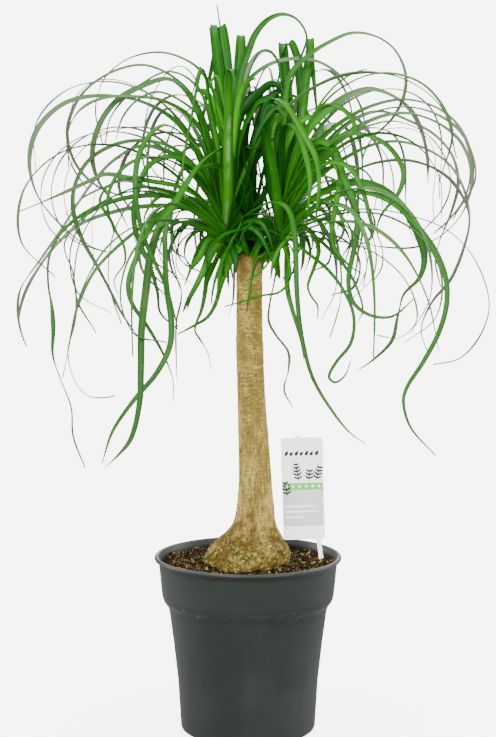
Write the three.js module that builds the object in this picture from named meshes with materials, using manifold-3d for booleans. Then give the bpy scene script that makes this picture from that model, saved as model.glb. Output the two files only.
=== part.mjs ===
// A potted ponytail palm: a woody stem with a swollen foot, three heads of long curling strap leaves,
// a nursery pot filled with soil, and a plain stick-in label.
// Millimetres, +Z up, front towards -Y, origin at the middle of the pot's underside.
import * as THREE from 'three';
import { mergeVertices } from 'three/addons/utils/BufferGeometryUtils.js';
import Module from 'manifold-3d';

const wasm = await Module();
wasm.setup();

const DEGREE = Math.PI / 180;
const UP = new THREE.Vector3(0, 0, 1);
const GAP = 0.3;                     // air between two pieces that touch

// Pot
const SIDES = 36;                    // flats round the pot and the soil
const POT_HEIGHT = 200.5;
const POT_WALL = 1.8;
const POT_FLOOR = 3;
const RIM_RADIUS = 105;
const RIM_BEAD = 2.5;                // radius of the round bead on the rim
const BAND_TOP_RADIUS = 100.2;
const BAND_EDGE_RADIUS = 95.5;       // lower edge of the upright band
const BAND_EDGE_Z = 151;
const STEP_RADIUS = 90.3;            // body just under the band
const STEP_Z = 144;
const BODY = [[79, 58], [84, 103], [88.6, 138]];
const FOOT_RADIUS = 69;
const CORNER_RADIUS = 7;
const DRAIN_HOLES = 8;
const DRAIN_RADIUS = 4.5;
const DRAIN_CENTRE = [71, 3.5];      // radius and height of a hole's centre, on the bottom corner

// Soil
const SOIL_Z = 189;
const SOIL_LUMP = 1.6;
const SOIL_MOUND = 3;                // rise of the soil against the stem

// Trunk: height, left edge and right edge, with the buried part first
const TRUNK_SIDES = 28;
const TRUNK_EDGES = [
  [158, -14, 12], [165, -31, 25], [175, -43, 36], [186, -49, 43], [194, -50.5, 46.5], [202, -47.2, 47.2],
  [210, -41.9, 44.9], [217, -33.8, 40.4], [225, -25.6, 35.8], [233, -19, 32.4], [242, -15.2, 30.6],
  [257, -12.8, 29.6], [283, -10.6, 27], [310, -10.8, 25], [335, -11, 23], [361, -11.6, 21],
  [387, -12.2, 19.2], [412, -13, 18.2], [438, -13.8, 17.1], [478, -13.2, 16.2], [519, -12.4, 15.4],
  [538, -10.5, 13.5],
];
const TRUNK_DEPTH = 0.96;            // front-to-back width as a share of the side-to-side width
const CAUDEX_LOBES = 0.045;          // swelling of the lobes round the foot
const BARK_RINGS = 0.35;             // height of the ring-shaped swellings on the stem
const STUB_START = [1.5, 0, 527];
const STUB_RADIUS = 8;

// Label, drawn upright and then leant about its foot in the soil
const CARD = { left: 39, right: 88, bottom: 213, top: 332, corner: 3, thick: 0.9 };
const CARD_LUG = { centre: 57, width: 7, height: 2.5 };
const STAKE = { left: 79.5, right: 87, point: 150 };
const CARD_Y = 26;
const CARD_LEAN = -1.6;
const CARD_FOOT = [83, CARD_Y, 190];

// Heads: where the stub ends, how the head leans, and the leaves that grow by rule
const CORE_RADIUS = 9.5;
const CORE_HALF = 17;
const HEADS = [
  { name: 'foliage_left', base: [-21, -2, 550], lean: [-0.22, -0.06, 1], grown: 13, start: 70 },
  { name: 'foliage_right', base: [31, -2, 549], lean: [0.3, -0.06, 1], grown: 15, start: -50 },
  { name: 'foliage_back', base: [4, 22, 550], lean: [0.06, 0.3, 1], grown: 24, start: 90 },
];

// Leaves that grow by rule, from the young upright ones to the old drooping ones
const GOLDEN_ANGLE = 137.508;
const LEAF_LENGTH = [340, 120];      // shortest, and how much the longest adds
const LEAF_WIDTH = [7.5, 4];
const LAUNCH = [84, -62];            // angle over the horizon of the youngest, and change to the oldest
const DROOP = [165, 70];             // turn towards the ground along a leaf
const DROOP_POWER = 1.8;
const SWAY = 50;
const GROWN_POINTS = 7;
const SHARES = [0.8191725, 0.6710436, 0.5497005];

// Blade: a strap with three faces, flat on top and keeled beneath
const BLADE_STEP = 34;
const TAPER = 0.55;                  // how early the blade narrows: 1 is a straight run to the tip
const TIP_WIDTH = 1.5;
const KEEL = 0.1;                    // keel depth as a share of the width
const KEEL_LEAST = 0.9;

// Clear way between leaves of two heads
const CLEAR_SAMPLES = 60;
const CLEAR_LEAST = 6.5;
const CLEAR_TRIES = 14;
const DEPTH_SHIFT = 7;
const HEADING_SHIFT = 5;
const CROWN_REACH = 255;             // furthest that a leaf grown by rule goes to either side
const STEM_VIEW = { half: 36, top: 545 };
const STEM_FOOT = [3, 0, 300];       // the stretch of stem that leaves keep clear of
const STEM_LENGTH = 225;
const STEM_REACH = 15.5;

// Leaf paths are drawn on the upright plane through the stem, as an eye in front of it sees them
const EYE_DISTANCE = 2600;
const EYE_HEIGHT = 760;

// Drawn leaves: width, depth of the tip, turn of the blade from root to tip in degrees,
// and the path from beyond the root as x and z pairs
const LEFT_LEAVES = [
  [10, -14, [-55, -10, -60, -20, 30], [-70, 675, -110, 704, -155, 713, -200, 705, -231, 676, -240, 640,
    -231, 602, -207, 572, -180, 550, -155, 541]],
  [7, 34, [-50, -15, -35, -70, 20], [-50, 690, -74, 727, -112, 746, -150, 738, -182, 714, -198, 676,
    -190, 640, -166, 614, -128, 600]],
  [10, -24, [-65, -15, -60, -80, -20], [-50, 680, -68, 717, -87, 731, -114, 724, -143, 708, -163, 681,
    -171, 647, -163, 617, -143, 590, -131, 566]],
  [5, 14, [-40, -20, -50, 0], [-46, 705, -66, 732, -88, 739, -113, 728, -135, 710, -151, 688, -157, 660]],
  [5, 48, [-60, -20, -40, 0], [-32, 700, -52, 740, -75, 755, -100, 760, -133, 752, -158, 730, -167, 698,
    -159, 658]],
  [7, -48, [-60, -30, -20, 0], [-48, 682, -70, 705, -98, 717, -120, 709, -137, 690, -145, 665]],
  [8, -38, [-65, -25, -30, 0], [-48, 668, -67, 693, -95, 708, -125, 712, -155, 711, -178, 702, -193, 686,
    -199, 660, -193, 636, -178, 612]],
  [9, -32, [-60, -20, -40, -60, 10], [-46, 618, -68, 645, -92, 660, -123, 664, -150, 658, -176, 641,
    -191, 612, -192, 585, -183, 556, -166, 525, -150, 494, -139, 472, -122, 448]],
  [8, 18, [-60, -30, -50, -20], [-46, 614, -70, 641, -93, 654, -118, 658, -144, 645, -166, 624, -184, 600,
    -206, 566, -230, 532, -251, 502, -255, 478, -252, 454, -246, 437]],
  [8, -60, [-35, -50, -60, -20], [-48, 597, -75, 613, -105, 619, -135, 624, -157, 627, -174, 620,
    -202, 607, -233, 594, -252, 586]],
  [8, 50, [-30, -50, -40, 10], [-55, 585, -85, 592, -120, 591, -150, 585, -185, 572, -212, 549, -235, 518,
    -248, 493, -254, 465, -249, 443]],
  [13, -128, [50, 20, -20, -40, -60, 10], [-20, 622, -26, 656, -51, 640, -65, 621, -79, 598, -96, 572,
    -107, 540, -113, 498, -118, 455, -119, 410, -121, 372, -131, 332, -145, 314, -160, 300]],
  [11, -100, [40, 0, -30, -60, 10], [-30, 634, -56, 632, -76, 606, -90, 570, -91, 532, -90, 503, -85, 465,
    -87, 436, -102, 406, -128, 375, -151, 341, -163, 305]],
  [9, -112, [-50, -10, -60, -30], [-45, 640, -70, 670, -90, 681, -106, 672, -119, 650, -124, 620,
    -122, 588, -114, 555, -102, 528, -88, 496, -78, 458]],
  [9, -56, [-50, -40, -60, 0], [-48, 622, -70, 642, -90, 646, -110, 635, -121, 610, -126, 580, -120, 553,
    -109, 528, -100, 497, -97, 474, -78, 456]],
  [9, -78, [-40, -50, -30, 10], [-55, 590, -80, 592, -105, 573, -121, 540, -132, 508, -129, 486, -112, 460,
    -95, 430, -84, 400, -83, 375]],
  [6, 58, [-30, -20, -40, 0], [-50, 588, -79, 602, -105, 611, -135, 620, -160, 612, -182, 601, -202, 582]],
  [6, 14, [-30, -60, -20, 10], [-50, 572, -66, 575, -80, 558, -87, 540, -83, 519, -75, 504, -74, 488,
    -79, 466, -80, 440, -79, 400]],
  [9, -22, [-60, -40, -10], [-46, 556, -56, 540, -62, 526, -70, 505]],
  [9, -42, [-60, -50, -20], [-38, 556, -46, 530, -55, 508, -64, 490, -67, 478]],
  [7, -24, [-50, -60, -10, 0], [-38, 552, -44, 525, -47, 500, -51, 478, -59, 455, -53, 444, -45, 430,
    -41, 412]],
  [7, -30, [-20, -50, -20], [-30, 545, -25, 522, -31, 502, -36, 484, -45, 469, -61, 459, -78, 450]],
  [6, 88, [-40, -30, -60, 0], [-55, 596, -100, 603, -150, 596, -188, 574, -203, 548, -194, 520, -190, 488,
    -192, 463, -200, 430, -193, 398, -178, 381, -160, 379, -148, 381]],
  [8, -88, [-30, -40, -90, -180, -30], [-60, 594, -110, 604, -165, 592, -203, 566, -219, 538, -221, 505,
    -217, 480, -216, 455, -217, 428, -208, 399, -197, 368, -195, 335, -182, 300]],
  [7, -50, [-50, -30, -40, 0], [-60, 592, -88, 589, -112, 573, -142, 549, -169, 521, -185, 490, -193, 464,
    -200, 430, -206, 402]],
  [5, -106, [-30, -20, -60, 20], [-60, 610, -110, 625, -150, 617, -163, 598, -152, 578, -145, 563, -137, 548,
    -136, 530, -148, 510, -144, 495]],
  [14, 112, [0, 20, 10, 0], [-22, 640, -27, 705, -34, 760, -38, 785, -38, 782, -36, 755, -34, 715, -38, 660]],
  [13, 128, [10, -20, 0], [-17, 640, -19, 700, -24, 765, -28, 788, -31, 786, -36, 760, -45, 715, -52, 665]],
  [3, 74, [0, 0], [-17, 650, -20, 710, -27, 765, -31, 792, -34, 811]],
  [15, 70, [10, 0, -10, 0], [-22, 600, -21, 650, -20, 700, -20, 732, -19, 742, -18, 736, -16, 705, -14, 660]],
  [13, 112, [-20, 10, 0], [-18, 640, -14, 700, -10, 750, -8, 777, -7, 777, -4, 750, 2, 712, 8, 670]],
  [6, -92, [20, -30, -60, 0], [-32, 650, -41, 700, -47, 736, -51, 743, -55, 728, -61, 695, -68, 660,
    -72, 630, -69, 600]],
  [10, 34, [70, 50, 10, 60], [-18, 640, -13, 700, -8, 737, 0, 760, 9, 781, 23, 796, 39, 801, 54, 795,
    64, 777, 57, 753, 49, 731, 46, 710]],
  [7, -22, [60, 20, 50], [-14, 650, -6, 710, 4, 745, 12, 760, 22, 762, 32, 751, 36, 728]],
  [8, 60, [40, 20, 50, 0], [-14, 640, -10, 690, -2, 725, 12, 740, 29, 749, 50, 753, 73, 751, 90, 743,
    106, 729, 118, 712, 126, 693, 129, 668]],
  [10, 58, [60, 70, 50, 20], [-16, 610, -14, 668, -6, 694, 8, 711, 20, 724, 31, 726, 42, 716, 50, 698,
    54, 665]],
  [8, -102, [20, 30, 60, 70, 10], [-12, 574, 6, 588, 29, 597, 44, 589, 51, 564, 53, 530, 54, 500, 57, 465,
    62, 436, 72, 401, 91, 368, 112, 341, 132, 326]],
];
const RIGHT_LEAVES = [
  [7, 26, [30, 60, 20, 70, 30], [38, 620, 40, 690, 46, 735, 64, 755, 87, 770, 114, 781, 140, 777, 160, 763,
    172, 737, 170, 711, 157, 687, 136, 666, 126, 645, 126, 621]],
  [14, 108, [0, 10, 0], [40, 640, 43, 700, 40, 745, 38, 769, 38, 768, 38, 745, 37, 700]],
  [13, 104, [20, -10, 0], [50, 640, 59, 695, 57, 728, 53, 757, 46, 771, 40, 762, 34, 735, 28, 700]],
  [13, 70, [-10, 10, 0], [50, 640, 60, 695, 64, 734, 68, 766, 68, 775, 69, 760, 72, 730, 76, 690]],
  [11, -78, [-30, 20, 60, 40], [24, 620, 20, 680, 27, 709, 40, 704, 52, 687, 64, 666, 74, 646, 78, 622,
    77, 600, 74, 572]],
  [10, -58, [-20, 30, 60, 0], [36, 640, 42, 682, 52, 678, 62, 652, 68, 625, 67, 598, 64, 570]],
  [12, 26, [60, 50, 15, 30], [50, 640, 66, 676, 87, 697, 110, 713, 134, 720, 158, 713, 178, 697, 190, 675,
    197, 645, 198, 617]],
  [9, -30, [50, 20, 60, 20], [52, 640, 66, 680, 82, 700, 97, 702, 111, 691, 120, 673, 125, 648, 126, 625]],
  [4, 58, [30, 10], [58, 660, 79, 704, 99, 727, 119, 739, 131, 742]],
  [9, 42, [60, 30, 10, 60, 20, 40], [58, 635, 80, 665, 102, 684, 136, 702, 172, 709, 205, 701, 230, 681,
    244, 650, 246, 617, 236, 584, 214, 560, 185, 547, 150, 547, 122, 552]],
  [10, -38, [60, 40, 10, 60, 20], [56, 625, 80, 655, 110, 673, 145, 690, 175, 694, 205, 685, 232, 664,
    244, 635, 240, 605, 224, 580, 205, 562]],
  [8, 74, [50, 20, 60, 30], [60, 625, 90, 665, 118, 688, 145, 696, 178, 685, 205, 670, 224, 648, 231, 618,
    224, 586, 211, 552, 207, 530, 213, 503]],
  [5, 96, [40, 10, 30], [60, 625, 100, 665, 135, 681, 163, 685, 195, 672, 215, 648, 223, 617, 214, 589,
    194, 566]],
  [8, 54, [50, 20, 30, 60, 10], [55, 600, 85, 630, 114, 649, 139, 660, 165, 663, 195, 655, 221, 638,
    238, 609, 244, 575, 238, 546, 224, 511, 203, 485, 192, 455, 199, 431]],
  [12, -66, [40, 50, 60, 120, 220, 260], [55, 585, 82, 607, 115, 618, 145, 612, 170, 591, 186, 565,
    195, 535, 190, 513, 172, 494, 166, 470, 160, 443, 141, 423, 121, 409]],
  [9, -96, [30, 40, 50, 60, 10], [60, 580, 90, 600, 125, 607, 155, 598, 180, 577, 204, 547, 218, 515,
    220, 485, 212, 453, 194, 418, 177, 391, 173, 375, 181, 346, 209, 314]],
  [8, -86, [40, 30, 60, 150, 220], [58, 610, 85, 655, 114, 671, 141, 666, 160, 651, 171, 628, 165, 605,
    148, 584, 142, 566, 148, 545, 148, 525, 138, 508]],
  [9, -76, [40, 60, 50, 20], [50, 620, 75, 655, 92, 655, 101, 635, 110, 613, 119, 590, 121, 565, 116, 540,
    111, 508, 117, 485, 136, 471, 160, 470, 183, 489]],
  [10, -54, [50, 60, 80, 0], [54, 636, 76, 663, 94, 655, 102, 630, 98, 600, 93, 570, 95, 547, 110, 528,
    125, 518]],
  [6, -56, [30, 20, 50, 0], [46, 556, 62, 543, 88, 522, 106, 498, 117, 470, 114, 440, 98, 419, 90, 402,
    97, 396, 108, 404, 114, 420]],
  [7, -36, [40, 20, 30, 0], [52, 573, 70, 562, 87, 547, 108, 524, 121, 500, 127, 476, 121, 463]],
  [7, -22, [30, 60, 20, 60], [50, 564, 67, 566, 78, 545, 73, 525, 66, 503, 70, 492, 77, 482, 77, 468]],
  [5, 42, [30, 10, 40, 0], [55, 560, 85, 556, 121, 549, 150, 534, 173, 512, 186, 483, 186, 463, 168, 446,
    143, 449]],
  [5, 106, [20, 10, 20, 0], [60, 574, 91, 585, 130, 589, 170, 584, 216, 568, 244, 543, 262, 508, 267, 478,
    256, 446, 235, 423, 206, 416]],
  [6, 48, [40, 50, 10], [56, 606, 82, 631, 108, 636, 129, 630, 141, 608, 139, 588]],
  [8, -108, [30, 50, 60, 20], [60, 620, 90, 640, 112, 634, 125, 612, 133, 585, 137, 560, 127, 551]],
  [9, -36, [20, 70, 30, 10], [34, 545, 33, 530, 29, 510, 24, 485, 23, 465, 31, 449, 45, 430, 45, 410,
    40, 388, 50, 368]],
  [4, -36, [0, 30, 0], [41, 545, 46, 512, 35, 497, 15, 493, -8, 486, -26, 481]],
  [8, -22, [40, 60, 20], [42, 546, 43, 520, 44, 498, 51, 471, 60, 440, 62, 420]],
  [4, -34, [0, 60, 0], [22, 560, 12, 545, 6, 524, 2, 504, 0, 488]],
  [8, -42, [30, 60, 20], [52, 578, 49, 563, 36, 547, 28, 530, 25, 512]],
];

const POT_MATERIAL = new THREE.MeshStandardMaterial({ color: '#3e4240', roughness: 0.5, metalness: 0 });
const SOIL_MATERIAL = new THREE.MeshStandardMaterial({ color: '#5a4636', roughness: 1, metalness: 0 });
const BARK_MATERIAL = new THREE.MeshStandardMaterial({ color: '#b49a66', roughness: 0.9, metalness: 0 });
const LABEL_MATERIAL = new THREE.MeshStandardMaterial({ color: '#e9ece9', roughness: 0.5, metalness: 0 });
const LEAF_COLOURS = ['#3a8a1c', '#41921f', '#175a12'];

// Solid with its shared points merged, from a closed geometry
function solidOf(geometry) {
  const bare = geometry.clone();
  bare.deleteAttribute('normal');
  bare.deleteAttribute('uv');
  const merged = mergeVertices(bare, 1e-4);
  const index = merged.index.array;
  const triangles = [];
  for (let i = 0; i < index.length; i += 3) {
    const [a, b, c] = index.slice(i, i + 3);
    if (a !== b && b !== c && c !== a) triangles.push(a, b, c);
  }
  return new wasm.Manifold(new wasm.Mesh({
    numProp: 3,
    vertProperties: new Float32Array(merged.attributes.position.array),
    triVerts: new Uint32Array(triangles),
  }));
}

function meshOf(name, solid, material) {
  const { vertProperties, triVerts } = solid.getMesh();
  const geometry = new THREE.BufferGeometry();
  geometry.setAttribute('position', new THREE.BufferAttribute(vertProperties, 3));
  geometry.setIndex(new THREE.BufferAttribute(triVerts, 1));
  geometry.computeVertexNormals();
  const mesh = new THREE.Mesh(geometry, material);
  mesh.name = name;
  return mesh;
}

function turnTo(from, to) {
  return new THREE.Quaternion().setFromUnitVectors(from, to);
}

// Turned body about the Z axis, from radius and height pairs that run from the axis up and back
function turned(outline, sides) {
  const points = outline.map(([radius, z]) => new THREE.Vector2(radius, z));
  return new THREE.LatheGeometry(points, sides).rotateX(Math.PI / 2);
}

function arc(radius, z, size, from, to, steps) {
  const points = [];
  for (let i = 0; i <= steps; i += 1) {
    const angle = (from + (to - from) * (i / steps)) * DEGREE;
    points.push([radius + size * Math.cos(angle), z + size * Math.sin(angle)]);
  }
  return points;
}

// Closed skin over rings with equal numbers of points. Each four-sided patch is split along the
// diagonal that stands further out, so that a twisted blade keeps its thickness.
function skin(rings) {
  const sides = rings[0].length;
  const points = rings.flat();
  const index = [];
  for (let r = 0; r + 1 < rings.length; r += 1) {
    const middle = new THREE.Vector3();
    [...rings[r], ...rings[r + 1]].forEach((p) => middle.addScaledVector(p, 0.5 / sides));
    for (let s = 0; s < sides; s += 1) {
      const a = r * sides + s;
      const b = r * sides + ((s + 1) % sides);
      const c = b + sides;
      const d = a + sides;
      const one = points[a].clone().add(points[c]).multiplyScalar(0.5).distanceTo(middle);
      const two = points[b].clone().add(points[d]).multiplyScalar(0.5).distanceTo(middle);
      if (one > two) index.push(a, b, c, a, c, d);
      else index.push(a, b, d, b, c, d);
    }
  }
  const last = (rings.length - 1) * sides;
  for (let s = 1; s + 1 < sides; s += 1) {
    index.push(0, s + 1, s, last, last + s, last + s + 1);
  }
  const geometry = new THREE.BufferGeometry().setFromPoints(points);
  geometry.setIndex(index);
  return geometry;
}

function potOutline() {
  const corner = arc(FOOT_RADIUS, CORNER_RADIUS, CORNER_RADIUS, -90, -8, 3);
  const bead = arc(RIM_RADIUS - RIM_BEAD, POT_HEIGHT - RIM_BEAD, RIM_BEAD, -60, 90, 4);
  const outside = [
    ...corner, ...BODY, [STEP_RADIUS, STEP_Z], [BAND_EDGE_RADIUS, BAND_EDGE_Z],
    [BAND_EDGE_RADIUS + 1.5, BAND_EDGE_Z + 6], [BAND_TOP_RADIUS, POT_HEIGHT - 2.9 * RIM_BEAD], ...bead,
  ];
  const inside = [
    [BAND_TOP_RADIUS - POT_WALL, POT_HEIGHT - 2.9 * RIM_BEAD],
    [BAND_EDGE_RADIUS + 1.5 - POT_WALL, BAND_EDGE_Z + 6], [STEP_RADIUS - POT_WALL, STEP_Z + 1],
    ...BODY.map(([radius, z]) => [radius - POT_WALL, z]).reverse(),
    [FOOT_RADIUS + CORNER_RADIUS - 0.6 - POT_WALL, POT_FLOOR + 9], [FOOT_RADIUS - 1, POT_FLOOR],
  ];
  return { outside, inside };
}

function buildPot() {
  const { outside, inside } = potOutline();
  let pot = solidOf(turned([[0, 0], ...outside, ...inside, [0, POT_FLOOR]], SIDES));
  for (let i = 0; i < DRAIN_HOLES; i += 1) {
    const hole = new THREE.CylinderGeometry(DRAIN_RADIUS, DRAIN_RADIUS, 24, 10);
    hole.rotateZ(45 * DEGREE).translate(DRAIN_CENTRE[0], DRAIN_CENTRE[1], 0).rotateX(Math.PI / 2);
    hole.rotateZ(((i + 0.5) / DRAIN_HOLES) * 2 * Math.PI);
    pot = pot.subtract(solidOf(hole));
  }
  return pot;
}

// Ground level round the stem, with soft lumps
function soilHeight(x, y) {
  const radius = Math.hypot(x, y);
  const lumps = Math.sin(x * 0.21 + 1) * Math.cos(y * 0.17) + 0.6 * Math.sin(x * 0.09 - y * 0.13 + 2);
  return SOIL_Z + SOIL_LUMP * lumps + SOIL_MOUND * Math.exp(-Math.max(0, radius - 48) / 14);
}

function buildSoil(trunkRoom, stakeRoom) {
  const wall = [...potOutline().inside].reverse().filter(([, z]) => z < SOIL_Z - 6);
  const outline = wall.map(([radius, z]) => [radius - GAP, z === POT_FLOOR ? z + GAP : z]);
  const edge = BAND_TOP_RADIUS - POT_WALL - GAP - 1;
  const tops = [edge, 76, 56, 44].map((radius) => [radius, SOIL_Z]);
  const geometry = turned([[0, POT_FLOOR + GAP], ...outline, ...tops, [0, SOIL_Z]], SIDES);
  const position = geometry.attributes.position;
  for (let i = 0; i < position.count; i += 1) {
    if (position.getZ(i) > SOIL_Z - 1) position.setZ(i, soilHeight(position.getX(i), position.getY(i)));
  }
  return solidOf(geometry).subtract(trunkRoom).subtract(stakeRoom);
}

// Stem with its swollen foot and the stubs that carry the heads, grown on all sides by some extra
function buildTrunk(extra) {
  const rings = TRUNK_EDGES.map(([z, left, right], row) => {
    const foot = Math.max(0, Math.min(1, (250 - z) / 50));
    const ringed = row > 9 ? BARK_RINGS * Math.cos(row * Math.PI) : 0;
    const radius = (right - left) / 2 + ringed + extra;
    const points = [];
    for (let i = 0; i < TRUNK_SIDES; i += 1) {
      const angle = (i / TRUNK_SIDES) * 2 * Math.PI;
      const lobes = 1 + foot * CAUDEX_LOBES * Math.sin(3 * angle + 1) + 0.012 * Math.sin(5 * angle + row);
      const x = (left + right) / 2 + radius * lobes * Math.cos(angle);
      points.push(new THREE.Vector3(x, TRUNK_DEPTH * radius * lobes * Math.sin(angle), z));
    }
    return points;
  });
  rings[0].forEach((p) => p.setZ(p.z - extra));
  rings[rings.length - 1].forEach((p) => p.setZ(p.z + extra));
  let trunk = solidOf(skin(rings));
  for (const head of HEADS) {
    const from = new THREE.Vector3(...STUB_START);
    const way = new THREE.Vector3(...head.base).sub(from);
    const length = way.length() + extra;
    const stub = new THREE.CylinderGeometry(STUB_RADIUS - 0.5 + extra, STUB_RADIUS + 1.5 + extra, length, 12);
    stub.translate(0, length / 2, 0);
    stub.applyQuaternion(turnTo(new THREE.Vector3(0, 1, 0), way.normalize()));
    stub.translate(from.x, from.y, from.z);
    trunk = trunk.add(solidOf(stub));
  }
  return trunk;
}

// Label: a card with a small lug on top, and a stake that runs to a point in the soil
function buildLabel(extra) {
  const { left, right, bottom, top, corner, thick } = CARD;
  const outline = new THREE.Shape();
  outline.moveTo(left - extra + corner, bottom - extra);
  outline.lineTo(STAKE.left - extra, bottom - extra);
  outline.lineTo(STAKE.left + 1 - extra, STAKE.point + 12);
  outline.lineTo((STAKE.left + STAKE.right) / 2, STAKE.point - extra);
  outline.lineTo(STAKE.right - 1 + extra, STAKE.point + 12);
  outline.lineTo(STAKE.right + extra, bottom - extra);
  outline.lineTo(right + extra, bottom + 2);
  outline.lineTo(right + extra, top - corner);
  outline.absarc(right + extra - corner, top + extra - corner, corner, 0, Math.PI / 2);
  outline.lineTo(CARD_LUG.centre + CARD_LUG.width / 2, top + extra);
  outline.lineTo(CARD_LUG.centre + CARD_LUG.width / 2 - 1, top + CARD_LUG.height + extra);
  outline.lineTo(CARD_LUG.centre - CARD_LUG.width / 2 + 1, top + CARD_LUG.height + extra);
  outline.lineTo(CARD_LUG.centre - CARD_LUG.width / 2, top + extra);
  outline.absarc(left - extra + corner, top + extra - corner, corner, Math.PI / 2, Math.PI);
  outline.absarc(left - extra + corner, bottom - extra + corner, corner, Math.PI, 1.5 * Math.PI);
  const depth = thick + 2 * extra;
  const card = new THREE.ExtrudeGeometry(outline, { depth, bevelEnabled: false, curveSegments: 3 });
  card.translate(0, 0, -depth / 2).rotateX(Math.PI / 2).translate(0, CARD_Y, 0);
  const foot = new THREE.Matrix4().makeTranslation(...CARD_FOOT);
  const lean = new THREE.Matrix4().makeRotationY(CARD_LEAN * DEGREE);
  card.applyMatrix4(foot.clone().multiply(lean).multiply(foot.clone().invert()));
  return solidOf(card);
}

// Even draw between 0 and 1 that needs no seed
function share(number, kind) {
  return ((number + 1) * SHARES[kind]) % 1;
}

// A point drawn on the front plane, carried along the line of sight to its depth
function atDepth(x, z, y) {
  const scale = 1 + y / EYE_DISTANCE;
  return new THREE.Vector3(x * scale, y, EYE_HEIGHT + (z - EYE_HEIGHT) * scale);
}

function axisOf(head) {
  return new THREE.Vector3(...head.lean).normalize();
}

// Root of a leaf on its head's axis: the steeper the leaf starts, the higher it sits
function rootOf(head, steep) {
  const height = 4 + 20 * Math.max(0, Math.min(1, steep));
  return new THREE.Vector3(...head.base).addScaledVector(axisOf(head), height);
}

function drawnLeaf(head, [width, depth, turns, path], shift) {
  const count = path.length / 2;
  const tip = depth + shift * DEPTH_SHIFT;
  const points = [rootOf(head, (path[1] - head.base[2]) / 90)];
  for (let i = 0; i < count; i += 1) {
    const s = (i + 1) / count;
    points.push(atDepth(path[2 * i], path[2 * i + 1], tip * (1 - (1 - s) ** 2)));
  }
  return { head, width, turns, points };
}

function grownLeaf(head, number, shift) {
  const rank = (number + 0.5) / head.grown;
  const heading = head.start + number * GOLDEN_ANGLE + shift * HEADING_SHIFT;
  const length = LEAF_LENGTH[0] + LEAF_LENGTH[1] * share(number, 0);
  const droop = DROOP[0] + DROOP[1] * share(number, 1);
  const sway = SWAY * (share(number, 2) - 0.5);
  const launch = LAUNCH[0] + LAUNCH[1] * rank;
  const points = [rootOf(head, 1 - rank)];
  for (let i = 0; i < GROWN_POINTS; i += 1) {
    const s = (i + 0.5) / GROWN_POINTS;
    const rise = (launch - droop * s ** DROOP_POWER) * DEGREE;
    const way = (heading + sway * s) * DEGREE;
    const level = Math.cos(rise);
    const step = new THREE.Vector3(level * Math.cos(way), level * Math.sin(way), Math.sin(rise));
    points.push(points[i].clone().addScaledVector(step, length / GROWN_POINTS));
  }
  const twist = 160 * (share(number, 1) - 0.5);
  const width = LEAF_WIDTH[0] + LEAF_WIDTH[1] * share(number, 2);
  return { head, width, turns: [0, 0.3 * twist, twist], points };
}

// Width at share s of the length: drawn in at the root and run out to a thread at the tip
function widthAt(leaf, s) {
  return Math.max(TIP_WIDTH, leaf.width * Math.min(1, 0.75 + 2.5 * s) * (1 - s) ** TAPER);
}

function turnAt(leaf, s) {
  const place = s * (leaf.turns.length - 1);
  const row = Math.min(Math.floor(place), leaf.turns.length - 2);
  return THREE.MathUtils.lerp(leaf.turns[row], leaf.turns[row + 1], place - row) * DEGREE;
}

function curveOf(leaf) {
  return new THREE.CatmullRomCurve3(leaf.points, false, 'centripetal');
}

function bladeOf(leaf) {
  const curve = curveOf(leaf);
  const steps = Math.max(leaf.points.length - 1, Math.round(curve.getLength() / BLADE_STEP));
  const reach = curve.getPoint(0.5).sub(leaf.points[0]);
  const side = new THREE.Vector3(-reach.y, reach.x, 0).normalize();
  const rings = [];
  for (let i = 0; i <= steps; i += 1) {
    const s = i / steps;
    const along = curve.getTangent(s);
    side.addScaledVector(along, -side.dot(along)).normalize();
    const up = along.clone().cross(side);
    const turn = turnAt(leaf, s);
    const across = side.clone().multiplyScalar(Math.cos(turn)).addScaledVector(up, Math.sin(turn));
    const over = up.clone().multiplyScalar(Math.cos(turn)).addScaledVector(side, -Math.sin(turn));
    const width = widthAt(leaf, s);
    const middle = curve.getPoint(s);
    const keel = Math.max(KEEL_LEAST, KEEL * width);
    rings.push([
      middle.clone().addScaledVector(across, -width / 2),
      middle.clone().addScaledVector(over, -keel),
      middle.clone().addScaledVector(across, width / 2),
    ]);
  }
  return solidOf(skin(rings));
}

// Points along a leaf, each with the room that the blade needs round it
function roomOf(leaf) {
  return curveOf(leaf).getPoints(CLEAR_SAMPLES).map((point, i) => (
    { point, reach: widthAt(leaf, i / CLEAR_SAMPLES) / 2 + 0.6 }
  ));
}

// A leaf grown by rule stays inside the crown and doesn't hang in front of the stem
function isInPlace({ point }) {
  const hides = point.y < -20 && Math.abs(point.x - 3) < STEM_VIEW.half && point.z < STEM_VIEW.top;
  return Math.abs(point.x) < CROWN_REACH && !hides;
}

function isClear(room, head, placed) {
  return placed.every((other) => other.head === head || room.every((mine) => (
    other.room.every((theirs) => (
      mine.point.distanceTo(theirs.point) > Math.max(CLEAR_LEAST, mine.reach + theirs.reach)
    ))
  )));
}

// The first form of a leaf that keeps clear of the stem and of the other heads
function placeLeaf(head, form, placed, fits = () => true) {
  for (let attempt = 0; attempt < 2 * CLEAR_TRIES; attempt += 1) {
    const shift = Math.ceil(attempt / 2) * (attempt % 2 ? 1 : -1);
    const leaf = form(shift);
    const room = roomOf(leaf);
    if (room.every(fits) && isClear(room, head, placed)) {
      placed.push({ head, room });
      return leaf;
    }
  }
  return null;
}

function straightRoom(from, way, length, reach) {
  const room = [];
  for (let done = 0; done <= length; done += 6) {
    room.push({ point: from.clone().addScaledVector(way, done), reach });
  }
  return room;
}

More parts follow.
